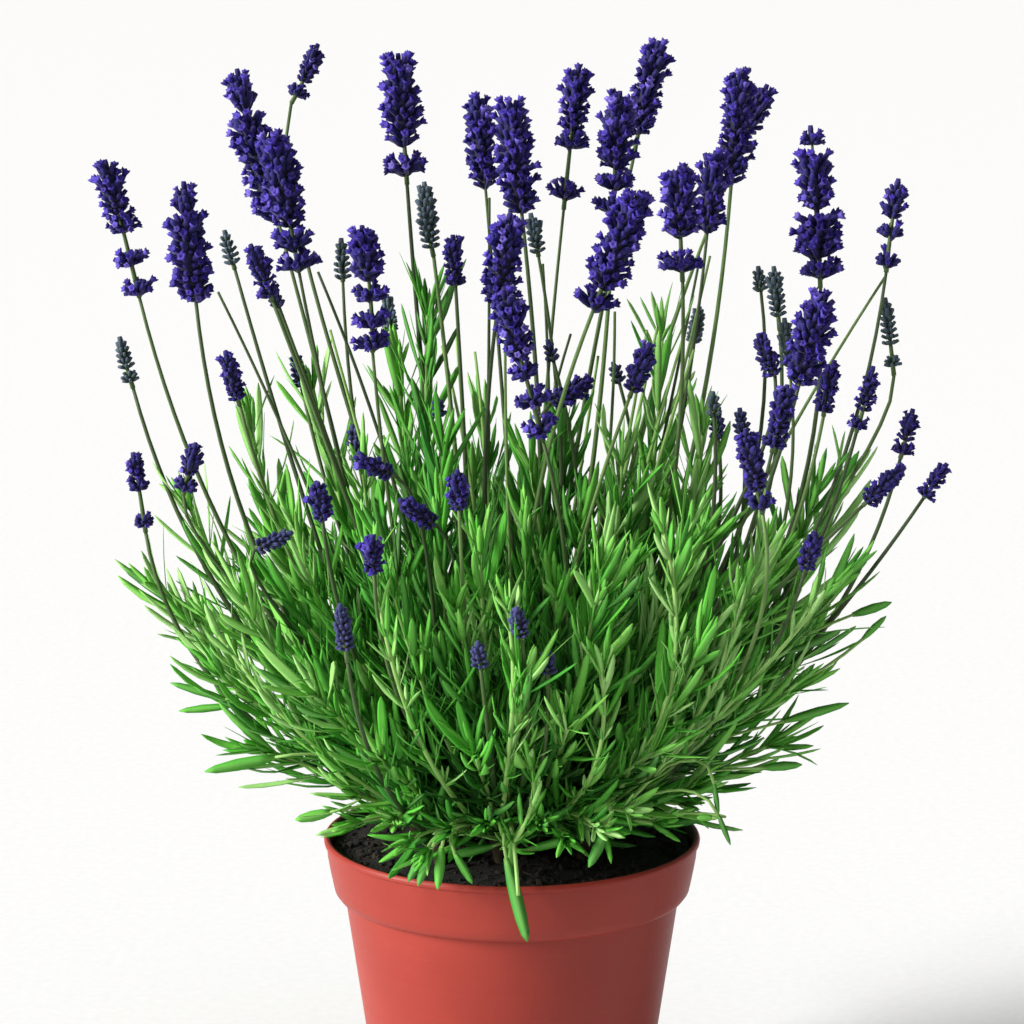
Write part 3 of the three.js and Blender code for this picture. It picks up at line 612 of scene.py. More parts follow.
def leaves_up(line, rng, turn, size, first, last, spacing, bright, rise=LEAF_RISE):
    """The leaves of one stem: crossed pairs at an even spacing, with short ones in their axils."""
    reach = np.linalg.norm(np.diff(line, axis=0), axis=1).sum()
    count = max(2, round((1 - FIRST_PAIR) * reach / spacing))
    step = (LAST_PAIR - FIRST_PAIR) / (count - 1) / 2
    made = []
    low = math.ceil((first - FIRST_PAIR) / step)
    high = math.floor((last - FIRST_PAIR) / step + 1e-6)
    for k in range(low, high + 1):
        share = FIRST_PAIR + step * k
        base, stem = along(line, share)
        a, b = sides_of(stem)
        for side in (0, 1):
            out = between(a, b, turn + math.radians(45 + 45 * k + 180 * side) + rng.normal(0, 0.1))
            full = size * LEAF_LENGTH * (1 - 0.25 * share)
            length = full * (1 + rng.uniform(-0.18, 0.14)) * (0.92 if k % 2 else 1.0)
            opened = math.radians(LEAF_OPEN * (1 - 0.5 * share)) * (1 + rng.uniform(-0.5, 0.6))
            # Painted shade and light: leaves near the middle of the bush get a darker tint, and those further
            # out to the sides, front and back get a lighter one.
            outer = 0.4 * abs(base[0]) / 80 + 0.12 * abs(base[1]) / 80 - 0.24
            tint = np.clip(bright + 0.28 * (share - 0.5) + outer + rng.normal(0, 0.22), 0, 1)
            width = math.sqrt(size) * LEAF_WIDTH * rng.uniform(0.7, 1.25)
            for _ in range(LEAF_TRIES):
                if off_the_pot(base, stem, out, length, opened, rise):
                    made.append(leaf(base, stem, out, rng, length, width, opened, tint, rise))
                    break
                length *= 0.8
                opened *= 0.7
            for skewed in (0.0, rng.choice([-1.4, 1.4])):
                short = full * rng.uniform(0.35, 0.72)
                tilted = opened * rng.uniform(0.5, 1.15)
                aside = unit(out + np.cross(stem, out) * skewed)
                young = np.clip(tint + rng.normal(0.06, 0.16), 0, 1)
                if off_the_pot(base, stem, aside, short, tilted, rise):
                    made.append(leaf(base, stem, aside, rng, short, width * 0.62, tilted, young, rise))
    return made


def tuft(line, rng, turn, size, bright, rise=0.1):
    """The young leaves that close over the tip of a leafy stem."""
    base, stem = along(line, 1.0)
    base = base - stem * 1.5
    a, b = sides_of(stem)
    made = []
    for k in range(TUFT_LEAVES):
        out = between(a, b, turn + k * math.radians(TUFT_TURN))
        length = size * rng.uniform(12, 26) * (1 - 0.05 * k)
        opened = math.radians(30 - 3 * k)
        if off_the_pot(base, stem, out, length, opened, rise):
            tint = np.clip(bright + 0.2 + rng.normal(0, 0.1), 0, 1)
            made.append(leaf(base, stem, out, rng, length, 2.2 * rng.uniform(0.7, 1.1), opened, tint, rise))
    return made


# Florets


def closed_rings(rows, sides, ribs=0.0):
    """A closed turned form from rows of (radius, height), with raised ribs."""
    rib = 1 + ribs * np.cos(angles(sides) * sides / 2)
    points = [ring(radius * rib, height, sides) for radius, height in rows]
    return np.concatenate(points), tube_faces(len(rows), sides)


def corolla_form():
    """A short tube with five rounded lobes, the upper two larger."""
    sides = 10
    lobe = 1.0 - np.arange(sides) % 2
    upper = 1 + 0.18 * np.cos(angles(sides))
    rows = [
        (0.6, 4.6),
        ((1.15 + 0.4 * lobe) * upper, 5.7 + 0.2 * lobe),
        ((1.1 + 0.5 * lobe) * upper, 6.2 + 0.35 * lobe),
        (0.4, 5.6),
    ]
    return closed_rings(rows, sides)


# A calyx is a ribbed tube about 5 mm long
CALYX = closed_rings([(0.35, 0.0), (0.95, 1.3), (1.05, 3.6), (0.85, 5.0)], 6, ribs=0.12)
COROLLA = corolla_form()


def scatter(piece, form, origins, frames, scales, kind, tints):
    """Adds a form once for each origin, turned by its frame and scaled."""
    if len(origins) == 0:
        return
    shape, faces = form
    origins, scales, tints = np.asarray(origins), np.asarray(scales), np.asarray(tints)
    points = np.einsum("nij,vj->nvi", np.asarray(frames), shape) * scales[:, None, None] + origins[:, None, :]
    radius = np.hypot(shape[:, 0], shape[:, 1])
    run = np.clip(shape[:, 2] / FLORET_REACH, 0, 1)
    looks = looks_of(points.shape[:2], tints[:, None], run, radius / radius.max())
    piece.add_many(points, faces, kind, looks)


def frame_toward(direction, rng):
    """A turned frame whose third direction is the one given."""
    helper = UP if abs(direction[2]) < 0.9 else SIDEWAYS
    first = unit(np.cross(helper, direction))
    second = np.cross(direction, first)
    a = between(first, second, rng.uniform(0, 2 * math.pi))
    b = np.cross(direction, a)
    return np.stack([a, b, direction], axis=1)


def swell_of(head, from_tip):
    """How full a head is at a distance from its tip, as a share of its widest."""
    swell = min(1.0, 0.55 + from_tip / 10) * min(1.0, 0.76 + (head["bare"] + head["dense"] - from_tip) / 14)
    if head["neck"] is None:
        return swell
    if from_tip < head["neck"]:
        swell *= head["slim"]
    return swell * (1 - 0.5 * math.exp(-(((from_tip - head["neck"]) / NECK_LENGTH) ** 2)))


def inside(line, sway, share):
    """The place at a share of the way up a head's slightly bowed line."""
    return line[0] + (line[-1] - line[0]) * share + 4 * share * (1 - share) * sway


def add_core(piece, head, line, sway, length, kind):
    """The dark heart of a head, which its florets hide. It is thin where the head has a neck."""
    neck = head["neck"]
    steps = max(5, round(head["dense"] / (2.6 if neck is None else 1.2)))
    from_tip = np.linspace(head["bare"] + 1.6, head["bare"] + head["dense"] - 0.8, steps)
    centre = inside(line, sway, np.clip(1 - from_tip / length, 0, 1)[:, None])
    radii = np.array([CORE_SHARE * head["wide"] * swell_of(head, place) for place in from_tip])
    if neck is not None:
        radii *= 1 - 0.82 * np.exp(-(((from_tip - neck - 3.3) / 2.6) ** 2))
    radii[[0, -1]] *= 0.5
    piece.tube(centre[::-1], radii[::-1], 8, kind, (0.2, 0.0, 0.5, 0.0))


def floret_rings(head, phase, spacing):
    """A head's rings of florets: how far each is from the tip, its reach, its lean and its fullness."""
    reach, neck = head["wide"] / 2, head["neck"]
    rings = []
    count = max(2, round(head["dense"] / (spacing if head["wide"] > 9 else 0.8 * spacing)))
    for k in range(count):
        from_tip = head["bare"] + head["dense"] * (1 - (k + 0.5) / count)
        if neck is not None and abs(from_tip - neck - NECK_BELOW) < NECK_HALF:
            continue
        lean = math.radians(24 + 40 * min(1.0, from_tip / (0.55 * head["dense"] + 4)))
        tier = 0.89 + 0.13 * math.cos(2 * math.pi * (from_tip / TIER_HEIGHT + phase))
        rings.append((from_tip, reach * swell_of(head, from_tip) * tier, lean, 1.0))
    for whorl in head["whorls"]:
        place, full = whorl if isinstance(whorl, tuple) else (whorl, 1.0)
        for over, share, lean, fullness in WHORL_RINGS:
            rings.append((place - over, reach * share * full, math.radians(lean), fullness))
    return rings


def add_spike(piece, stalk, rng, kinds, openness, spacing=ROW_SPACING):
    """One flower spike: its rachis, its core, and rings of florets that point out and up."""
    head, foot, tip, axis = stalk["head"], stalk["foot"], stalk["tip"], stalk["axis"]
    calyx_kind, corolla_kind, rachis_kind = kinds
    length = np.linalg.norm(tip - foot)
    sway = unit(np.cross(axis, rng.normal(size=3))) * rng.normal(0, 0.012) * length
    t = np.linspace(0, 1, 9)
    line = foot + np.outer(t, tip - foot) * 0.97 + np.outer(4 * t * (1 - t), sway)
    piece.tube(line, np.linspace(0.8, 0.4, len(t)), 6, rachis_kind, PLAIN)
    first, second = sides_of(axis)
    phase = rng.random()
    add_core(piece, head, line, sway, length, calyx_kind)
    origins, frames, scales, tints, opened = [], [], [], [], []
    for from_tip, out, lean, fullness in floret_rings(head, phase, spacing):
        centre = inside(line, sway, min(max(1 - (from_tip + FLORET_DROP) / length, 0.0), 1.0))
        florets = max(5, round((5.0 + out * 0.65) * fullness))
        start = rng.uniform(0, 2 * math.pi)
        for k in range(florets):
            side = between(first, second, start + (k + rng.uniform(-0.28, 0.28)) * 2 * math.pi / florets)
            tilt = lean + rng.normal(0, 0.13)
            direction = unit(between(axis, side, tilt))
            scale = max(0.5, (out * rng.uniform(0.8, 1.1) - 0.4) / math.sin(max(tilt, 0.3)) / FLORET_REACH)
            scale = min(scale, LARGEST_FLORET)
            origins.append(centre + side * 0.5 - axis * FLORET_REACH * scale * math.cos(tilt) * 0.55)
            wide = FLORET_WIDTH * scale**-0.45
            frames.append(frame_toward(direction, rng) * np.array([wide, wide, 1.0]))
            scales.append(scale)
            tints.append(rng.uniform(0, 1))
            opened.append(rng.random() < openness)
    scatter(piece, CALYX, origins, frames, scales, calyx_kind, tints)
    chosen = lambda values: [value for value, is_open in zip(values, opened) if is_open]
    scatter(piece, COROLLA, chosen(origins), chosen(frames), chosen(scales), corolla_kind, chosen(tints))
    scatter(piece, CALYX, [tip - axis * 4.2], [frame_toward(axis, rng)], [0.85], calyx_kind, [0.4])


# Materials


def linear(red, green, blue):
    """A screen colour, from 0 to 255 a channel, as the light that a shader takes."""
    channel = lambda c: c / 12.92 if c <= 0.04045 else ((c + 0.055) / 1.055) ** 2.4
    return tuple(channel(c / 255) for c in (red, green, blue)) + (1.0,)


class Nodes:
    """A material's node tree, with the few nodes that these materials share."""

    def __init__(self, name):
        self.material = bpy.data.materials.new(name)
        self.material.use_nodes = True
        self.tree = self.material.node_tree

    def feed(self, socket, value):
        """Sets an input to a plain value, or links it to another node's output."""
        if isinstance(value, (int, float, tuple)):
            socket.default_value = value
        else:
            self.tree.links.new(value, socket)

    def feed_all(self, node, inputs):
        for name, value in inputs.items():
            self.feed(node.inputs[name.replace("_", " ")], value)
        return node

    def node(self, kind, **inputs):
        """A new node, with its inputs by name."""
        return self.feed_all(self.tree.nodes.new(f"ShaderNode{kind}"), inputs)

    def look(self):
        """The four-part value that the meshes carry: tint, run, line and under."""
        attribute = self.node("Attribute")
        attribute.attribute_name = "look"
        split = self.node("SeparateColor", Color=attribute.outputs["Color"])
        return [*split.outputs[:3], attribute.outputs["Alpha"]]

    def noise(self, scale, detail=3.0, stretch=(1, 1, 1), roughness=0.55):
        place = self.node("Mapping", Vector=self.node("TexCoord").outputs["Object"], Scale=stretch)
        vector = place.outputs["Vector"]
        noise = self.node("TexNoise", Vector=vector, Scale=scale, Detail=detail, Roughness=roughness)
        return noise.outputs["Fac"]

    def ramp(self, factor, *stops):
        """A ramp of stops, each a position and a screen colour, or a position and a level of grey."""
        ramp = self.node("ValToRGB", Fac=factor)
        elements = ramp.color_ramp.elements
        while len(elements) < len(stops):
            elements.new(0.5)
        for element, (position, *colour) in zip(elements, stops):
            element.position = position
            element.color = linear(*colour) if len(colour) == 3 else (*colour * 3, 1.0)
        return ramp.outputs["Color"]

    def mix(self, factor, a, b):
        mix = self.node("Mix")
        mix.data_type = "RGBA"
        for socket, value in ((0, factor), (6, a), (7, b)):
            self.feed(mix.inputs[socket], value)
        return mix.outputs[2]

    def math(self, operation, a, b, clamp=False):
        node = self.node("Math")
        node.operation = operation
        node.use_clamp = clamp
        self.feed(node.inputs[0], a)
        self.feed(node.inputs[1], b)
        return node.outputs[0]

    def washed(self, base, factor, share, colour):
        """A colour with a share of another laid over it, more where a factor is high."""
        return self.mix(self.math("MULTIPLY", factor, share), base, linear(*colour))

    def finished(self, colour, rough, bump=None, **others):
        """The material, from its colour, its roughness (what drives it, low, high) and its bump
        (height, strength, distance)."""
        driver, low, high = rough
        spread = self.node("MapRange", Value=driver, To_Min=low, To_Max=high)
        inputs = dict(Base_Color=colour, Roughness=spread.outputs[0], **others)
        if bump:
            height, strength, distance = bump
            raised = self.node("Bump", Height=height, Strength=strength, Distance=distance)
            inputs["Normal"] = raised.outputs["Normal"]
        self.feed_all(self.tree.nodes["Principled BSDF"], inputs)
        return self.material


def leaf_material():
    n = Nodes("leaf")
    tint, run, line, under = n.look()
    dark, fresh, bright = (0.0, 6, 66, 22), (0.3, 28, 130, 32), (0.6, 74, 176, 42)
    base = n.ramp(tint, dark, fresh, bright, (0.85, 122, 198, 78), (1.0, 170, 218, 134))
    mottle = n.noise(420, 4)
    base = n.washed(base, mottle, 0.3, (30, 100, 26))
    base = n.washed(base, line, 0.28, (150, 206, 104))
    base = n.washed(base, under, 0.3, (124, 176, 100))
    foot = n.math("SUBTRACT", 1.0, n.math("MULTIPLY", run, 6.0, True))
    base = n.washed(base, foot, 0.4, (150, 190, 100))
    return n.finished(base, (mottle, 0.48, 0.68), (n.noise(900, 3), 0.25, 0.0002), Specular_IOR_Level=0.2)


def stem_material():
    n = Nodes("stem")
    tint, run = n.look()[:2]
    base = n.ramp(tint, (0.0, 46, 58, 38), (0.5, 80, 104, 58), (1.0, 164, 212, 116))
    streak = n.noise(260, 4, (1, 1, 0.12))
    base = n.washed(base, streak, 0.35, (50, 70, 40))
    woody = linear(56, 50, 32)
    base = n.mix(n.ramp(run, (0.0, 0), (0.03, 0), (0.14, 1)), woody, base)
    return n.finished(base, (streak, 0.5, 0.75), (streak, 0.35, 0.0003), Specular_IOR_Level=0.3)


def calyx_material(name, *stops):
    """The look of a calyx from its foot to its mouth."""
    n = Nodes(name)
    tint, run = n.look()[:2]
    fleck = n.noise(1500, 3)
    base = n.washed(n.ramp(run, *stops), tint, 0.45, stops[-1][1:])
    base = n.washed(base, fleck, 0.35, stops[0][1:])
    sheen = dict(Sheen_Weight=0.12, Sheen_Roughness=0.45, Specular_IOR_Level=0.25)
    return n.finished(base, (fleck, 0.6, 0.85), (fleck, 0.4, 0.0002), **sheen)


def petal_material():
    n = Nodes("petal")
    tint, _, line, _ = n.look()
    base = n.ramp(tint, (0.0, 28, 18, 100), (0.45, 50, 35, 146), (0.8, 80, 64, 178), (1.0, 130, 114, 210))
    throat = n.math("SUBTRACT", 1.0, line, True)
    base = n.washed(base, throat, 0.6, (36, 20, 96))
    vein = n.noise(1300, 3)
    base = n.washed(base, vein, 0.3, (50, 30, 140))
    sheen = dict(Sheen_Weight=0.1, Sheen_Roughness=0.4, Specular_IOR_Level=0.25)
    return n.finished(base, (vein, 0.45, 0.7), (vein, 0.3, 0.0002), **sheen)


def pot_material():
    n = Nodes("pot_plastic")
    cloud = n.noise(22, 5)
    fine = n.noise(520, 4)
    rings = n.noise(60, 3, (0.02, 0.02, 9.0))
    base = n.ramp(cloud, (0.3, 137, 45, 36), (0.55, 146, 49, 39), (0.75, 155, 55, 44))
    base = n.washed(base, fine, 0.22, (124, 40, 32))
    base = n.washed(base, rings, 0.22, (168, 66, 54))
    scuff = n.ramp(n.noise(34, 8, (1, 1, 3.5), 0.75), (0.62, 0), (0.72, 1))
    base = n.washed(base, scuff, 0.2, (176, 84, 70))
    # Painted shade and soil stain: the inner wall goes towards a dark soil brown, for the shade down inside
    # the pot as well as the compost dust on it.
    stain_and_shade = n.math("MULTIPLY", n.look()[0], n.ramp(fine, (0.25, 0.7), (0.6, 1)))
    base = n.mix(stain_and_shade, base, linear(30, 22, 18))
    rough, bump = n.mix(0.5, cloud, fine), n.mix(0.4, rings, fine)
    return n.finished(base, (rough, 0.34, 0.56), (bump, 0.12, 0.0004), Specular_IOR_Level=0.25)


def compost_material(name, low, high, scale):
    n = Nodes(name)
    coarse = n.noise(scale, 8, (1, 1, 1), 0.7)
    fine = n.noise(scale * 6, 5, (1, 1, 1), 0.7)
    base = n.ramp(coarse, (0.25, *low), (0.6, *high), (0.85, 42, 33, 26))
    base = n.washed(base, n.ramp(fine, (0.66, 0), (0.76, 1)), 0.35, (80, 65, 48))
    return n.finished(base, (fine, 0.8, 1.0), (n.mix(0.5, coarse, fine), 0.9, 0.002))


def floor_material():
    n = Nodes("floor_paper")
    grain = n.noise(300, 4)
    return n.finished(n.ramp(grain, (0.0, 238, 238, 238), (1.0, 250, 250, 250)), (grain, 0.8, 0.95))


# The pot


def pot_profile():
    """(radius, height) round the wall from the base's centre, up outside, over the lip and down inside."""
    neck = POT_HEIGHT - COLLAR_HEIGHT - COLLAR_UNDERSIDE
    rows = [(0, 0), (12, 0), (BASE_RADIUS - BASE_ROUND - 0.2, 0)]
    for angle in np.radians(np.linspace(-90, 0, 5)):
        rows.append((BASE_RADIUS - BASE_ROUND * (1 - math.cos(angle)), BASE_ROUND * (1 + math.sin(angle))))
    for share in np.arange(1, 13) / 12:
        height = BASE_ROUND + (neck - BASE_ROUND) * share
        rows.append((BASE_RADIUS + (BODY_TOP_RADIUS - BASE_RADIUS) * share, height))
    rows += [
        (BODY_TOP_RADIUS + 0.5, neck + 0.15),
        (BODY_TOP_RADIUS + 2.2, neck + 0.9),
        (COLLAR_FOOT_RADIUS - 0.5, neck + 2.4),
        (COLLAR_FOOT_RADIUS, POT_HEIGHT - COLLAR_HEIGHT),
        (COLLAR_FOOT_RADIUS + 0.8, POT_HEIGHT - 11.0),
        (COLLAR_FOOT_RADIUS + 1.6, POT_HEIGHT - 6.5),
    ]
    for inward, down in LIP_OUTSIDE + LIP_INSIDE:
        rows.append((RIM_RADIUS - inward, POT_HEIGHT - down))
    rows += [
        (COLLAR_FOOT_RADIUS - WALL + 1.2, POT_HEIGHT - 8.0),
        (COLLAR_FOOT_RADIUS - WALL, POT_HEIGHT - COLLAR_HEIGHT),
        (BODY_TOP_RADIUS - WALL, neck),
        (BASE_RADIUS - WALL, FLOOR_THICKNESS),
        (12, FLOOR_THICKNESS),
        (0, FLOOR_THICKNESS),
    ]
    return rows


def build_pot(material):
    rows = pot_profile()
    inner = rows[1:-1]
    points = [ring(radius, height, POT_SIDES) for radius, height in inner]
    points = np.concatenate([*points, [[0, 0, rows[0][1]], [0, 0, rows[-1][1]]]])
    i = np.arange(POT_SIDES)
    j = (i + 1) % POT_SIDES
    low = len(inner) * POT_SIDES
    last = (len(inner) - 1) * POT_SIDES
    base = np.stack([j, i, 0 * i + low], axis=1)
    top = np.stack([last + i, last + j, 0 * i + low + 1], axis=1)
    # The inner wall and the floor inside carry the mask for the painted shade and soil stain that the pot's
    # material lays on.
    stained_and_shaded = [1.0 if k > len(inner) - 8 else 0.0 for k in range(len(inner))]
    looks = np.zeros((len(points), 4))
    looks[:, 0] = np.concatenate([np.repeat(stained_and_shaded, POT_SIDES), [0.0, 1.0]])
    piece = Piece()
    faces = [tube_faces(len(inner), POT_SIDES, closed=False), base, top]
    piece.add(points, np.concatenate(faces), 0, looks)
    pot = piece.build("nursery_pot", [material], "pot_plastic", ["pot"])
    drill_holes(pot, material)
    return pot


def drill_holes(pot, material):
    """Cuts the drain holes through the floor, and sets which edges look sharp."""
    drill = Piece()
    for centre in ring(DRAIN_CIRCLE, 0.0, 2 * DRAIN_HOLES)[1::2]:
        drill.tube(np.array([centre - 3 * UP, centre + 5 * UP]), [DRAIN_RADIUS] * 2, 24, 0, PLAIN)
    cutter = drill.build("drill", [material], "pot_plastic")
    cut = pot.modifiers.new("drain_holes", "BOOLEAN")
    cut.operation = "DIFFERENCE"
    cut.object = cutter
    cut.solver = "EXACT"
    bpy.context.view_layer.update()
    made = bpy.data.meshes.new_from_object(pot.evaluated_get(bpy.context.evaluated_depsgraph_get()))
    pot.modifiers.clear()
    pot.data = made
    bpy.data.objects.remove(cutter)
    made.polygons.foreach_set("use_smooth", np.ones(len(made.polygons), bool))
    made.set_sharp_from_angle(angle=math.radians(SHARP_EDGE))


# The compost


def bumps(x, y):
    """A rough surface from a few crossed waves."""
    rng = draws("bumps")
    height = np.zeros_like(x)
    for octave in range(6):
        wave = 0.12 * 1.8**octave
        for _ in range(5):
            turn = rng.uniform(0, math.pi)
            phase = rng.uniform(0, 2 * math.pi)
            height += np.sin((x * math.cos(turn) + y * math.sin(turn)) * wave + phase) / 1.7**octave
    return height / 7


def compost_top(x, y):
    radius = np.hypot(x, y)
    share = np.minimum(radius / (COLLAR_FOOT_RADIUS - WALL), 1.0)
    edge = np.clip((1 - share) / 0.12, 0, 1)
    rough = COMPOST_ROUGHNESS * bumps(x, y) * (0.35 + 0.65 * edge)
    return COMPOST_EDGE + COMPOST_MOUND * (1 - share**2) + rough


def crumb_form(n):
    """A small broken lump: a twelve-cornered ball with its corners moved in and out."""
    rng = draws("crumbs", n)
    gold = (1 + math.sqrt(5)) / 2
    corners = []
    for a in (-1, 1):
        for b in (-gold, gold):
            corners += [(0, a, b), (a, b, 0), (b, 0, a)]
    corners = unit(np.array(corners, float)) * rng.uniform(0.65, 1.15, (12, 1))
    near = np.linalg.norm(unit(corners)[:, None] - unit(corners)[None], axis=2) < 1.2
    faces = []
    for a, b, c in itertools.combinations(range(12), 3):
        if near[a, b] and near[b, c] and near[a, c]:
            normal = np.cross(corners[b] - corners[a], corners[c] - corners[a])
            outward = normal @ (corners[a] + corners[b] + corners[c]) > 0
            faces.append((a, b, c) if outward else (a, c, b))
    return corners, np.array(faces)


def add_crumbs(piece, rng, reach):
    for form in range(CRUMB_FORMS):
        radius = (reach - 1.5) * np.sqrt(rng.random(CRUMBS_OF_A_FORM))
        turn = rng.random(CRUMBS_OF_A_FORM) * 2 * math.pi
        x, y = radius * np.cos(turn), radius * np.sin(turn)
        size = 0.35 + 1.25 * rng.random(CRUMBS_OF_A_FORM) ** 3
        origins = np.stack([x, y, compost_top(x, y) + 0.25 * size], axis=1)
        frames = np.stack([frame_toward(unit(rng.normal(size=3)), rng) for _ in size])
        frames = frames * (0.6 + 0.8 * rng.random((CRUMBS_OF_A_FORM, 1, 3)))
        tints = rng.random(CRUMBS_OF_A_FORM)
        scatter(piece, crumb_form(form), origins, frames, size, 1 + form % 2, tints)


def add_fibres(piece, rng, reach):
    for _ in range(FIBRES):
        radius = (reach - 6) * math.sqrt(rng.random())
        turn = rng.random() * 2 * math.pi
        heading = rng.random() * 2 * math.pi
        length = rng.uniform(3, 9)
        t = np.linspace(-0.5, 0.5, FIBRE_POINTS)
        x = radius * math.cos(turn) + t * length * math.cos(heading)
        y = radius * math.sin(turn) + t * length * math.sin(heading)
        z = compost_top(x, y) + 0.35 + 0.8 * rng.random() * (0.25 - t * t) * 4
        thick = rng.uniform(0.14, 0.3)
        line = np.stack([x, y, z], axis=1)
        piece.tube(line, [thick] * FIBRE_POINTS, 4, 2, (rng.random(), 0.5, 0.0, 0.0))


def build_compost(materials):
    """The compost: rings up inside the pot, then in over its rough top, with crumbs and fibres on it."""
    rng = draws("compost")
    outline = (
        (BASE_RADIUS - WALL - 0.5, FLOOR_THICKNESS + 0.3),
        (BODY_TOP_RADIUS - WALL - 0.5, POT_HEIGHT - COLLAR_HEIGHT - COLLAR_UNDERSIDE),
        (COLLAR_FOOT_RADIUS - WALL - 0.4, POT_HEIGHT - COLLAR_HEIGHT),
    )
    rows = [ring(radius, height, COMPOST_SIDES) for radius, height in outline]
    reach = COLLAR_FOOT_RADIUS - WALL + 0.5
    for k in range(COMPOST_RINGS):
        row = ring(reach * (1 - k / COMPOST_RINGS) + 0.1, 0.0, COMPOST_SIDES)
        row[:, 2] = compost_top(row[:, 0], row[:, 1])
        rows.append(row)
    piece = Piece()
    piece.add(np.concatenate(rows), tube_faces(len(rows), COMPOST_SIDES), 0, PLAIN)
    add_crumbs(piece, rng, reach)
    add_fibres(piece, rng, reach)
    return piece.build("peat_compost", materials, "compost", ["compost"], sharp=(1, 2))


# The plant

LEAF, STEM, BUD, DARK_BUD = 0, 1, 2, 3
CALYX_LOOK, PETAL_LOOK, STALK_LOOK = 0, 1, 2


def stem_piece(piece, line, foot, top, sides, tint, turn):
    radii = np.linspace(foot, top, len(line))
    looks = looks_of((len(line), sides), tint, np.linspace(0, 1, len(line))[:, None])
    piece.tube(line, radii, sides, STEM, looks, STEM_SQUARENESS, turn)


def add_crown(piece, root):
    """The woody foot of a shoot, from its hole in the compost to the place that its stems leave."""
    heights = np.array([-28, -4, 0, 2.5, 5, 7.5, 9.3])
    radii = np.array([2.0, 2.1, 2.4, 3.4, 3.6, 2.6, 0.8])
    line = root + np.outer(heights, UP)
    points = swept(line, radii, CROWN_SIDES)
    rng = np.random.default_rng(int(root[0] * 10 + SEEDS["crowns"]))
    rough = rng.uniform(0.9, 1.12, (len(points), 1))
    axis = np.repeat(line, CROWN_SIDES, axis=0)
    faces = tube_faces(len(line), CROWN_SIDES)
    piece.add(axis + (points - axis) * rough, faces, STEM, (0.0, 0.0, 0.0, 0.0))


def basal_leaves(root, rng, rise=0.05):
    """Leaves that spread from a crown, low over the compost."""
    made = []
    for k in range(BASAL_LEAVES):
        base = root + UP * rng.uniform(1.5, 9)
        angle = math.radians(GOLDEN * k) + rng.normal(0, 0.2)
        out = polar(1.0, angle)
        opened = math.radians(rng.uniform(30, 84))
        length = rng.uniform(22, 42)
        tint = np.clip(rng.normal(0.36, 0.24), 0, 1)
        if off_the_pot(base, UP, out, length, opened, rise):
            made.append(leaf(base, UP, out, rng, length, rng.uniform(2.4, 3.8), opened, tint, rise))
    return made


def seen_leaf(base_seen, tip_seen, base_depth, tip_depth, width, tint):
    """A single leaf from where its foot and its tip are seen, with its flat side to the front."""
    base, tip = placed(base_seen, base_depth), placed(tip_seen, tip_depth)
    stem = unit(tip - base)
    away = unit(base - EYE)
    out = unit(away - stem * (away @ stem))
    twist, sway = 0.25 * (draw(base_seen[0]) - 0.5), 0.2 * (draw(tip_seen[0]) - 0.5)
    made = dict(base=base, stem=stem, out=-out, length=np.linalg.norm(tip - base), width=width, open=0.0)
    return dict(made, arch=0.0, twist=twist, sway=sway, tint=tint, rise=0.0)


def twig_to(blade, root):
    """The thin stem that carries a single leaf, from its crown to its foot."""
    start = root + UP * 0.6 * CROWN_HEIGHT
    reach = np.linalg.norm(blade["base"] - start)
    lifted = start + 0.4 * reach * unit(unit(blade["base"] - start) + UP * 0.5)
    near = blade["base"] - 0.3 * reach * blade["stem"]
    near[2] = max(near[2], POT_HEIGHT + 3)
    return curve([start, lifted, near, blade["base"] + 0.6 * blade["stem"]], 13, 30)


def extra_sprays():
    """More leafy stems than the part has room for, shorter, in the midst of the others."""
    rng = draws("extras")
    made = []
    for k in range(EXTRA_SPRAYS):
        radius = DOME_INSIDE + DOME_SPREAD * math.sqrt((k + 0.5) / EXTRA_SPRAYS)
        rise = DOME_RISE * math.sqrt(max(0.05, 1 - (radius / DOME_RADIUS) ** 2)) * rng.uniform(0.6, 1.1)
        top = polar(radius, math.radians(GOLDEN * k + DOME_TURN), POT_HEIGHT + DOME_FOOT + rise)
        top *= (0.95, 0.8, 1.0)
        shoot = shoot_of(top)
        start = ROOTS[shoot] + UP * CROWN_HEIGHT * rng.uniform(0.4, 0.8)
        middle = start + 0.5 * (top - start) + UP * rng.uniform(2, 8)
        line = curve([start, middle, top], LINE_POINTS, 40)
        made.append(dict(shoot=shoot, line=line, size=rng.uniform(0.72, 0.95), hangs=False))
    return made


def add_leafy_stems(shoots):
    listed = [spray_of(*row) for row in SPRAYS + LOW_SPRAYS]
    for n, spray in enumerate(listed + extra_sprays()):
        rng = draws("sprays", n)
        turn = 2 * math.pi * draw(n + 1)
        is_extra = n >= len(listed)
        # Painted shade: the leafy stems in the midst of the others get a darker tint.
        bright = rng.uniform(0.35, 0.7) - (0.1 if is_extra else 0.0)
        piece, line, size = shoots[spray["shoot"]], spray["line"], spray["size"]
        foot = STEM_FOOT_RADIUS * size**0.5
        stem_piece(piece, line[::2], foot, LEAFY_TOP_RADIUS, 5 if is_extra else 8, 0.92, turn)
        if spray["hangs"]:
            piece.leaves += leaves_up(line, rng, turn, size, BARE_PATCH, 0.66, PAIR_SPACING, bright, 0.0)
        else:
            piece.leaves += leaves_up(line, rng, turn, size, BARE_PATCH, 0.97, PAIR_SPACING, bright)
            piece.leaves += tuft(line, rng, turn, size, bright)


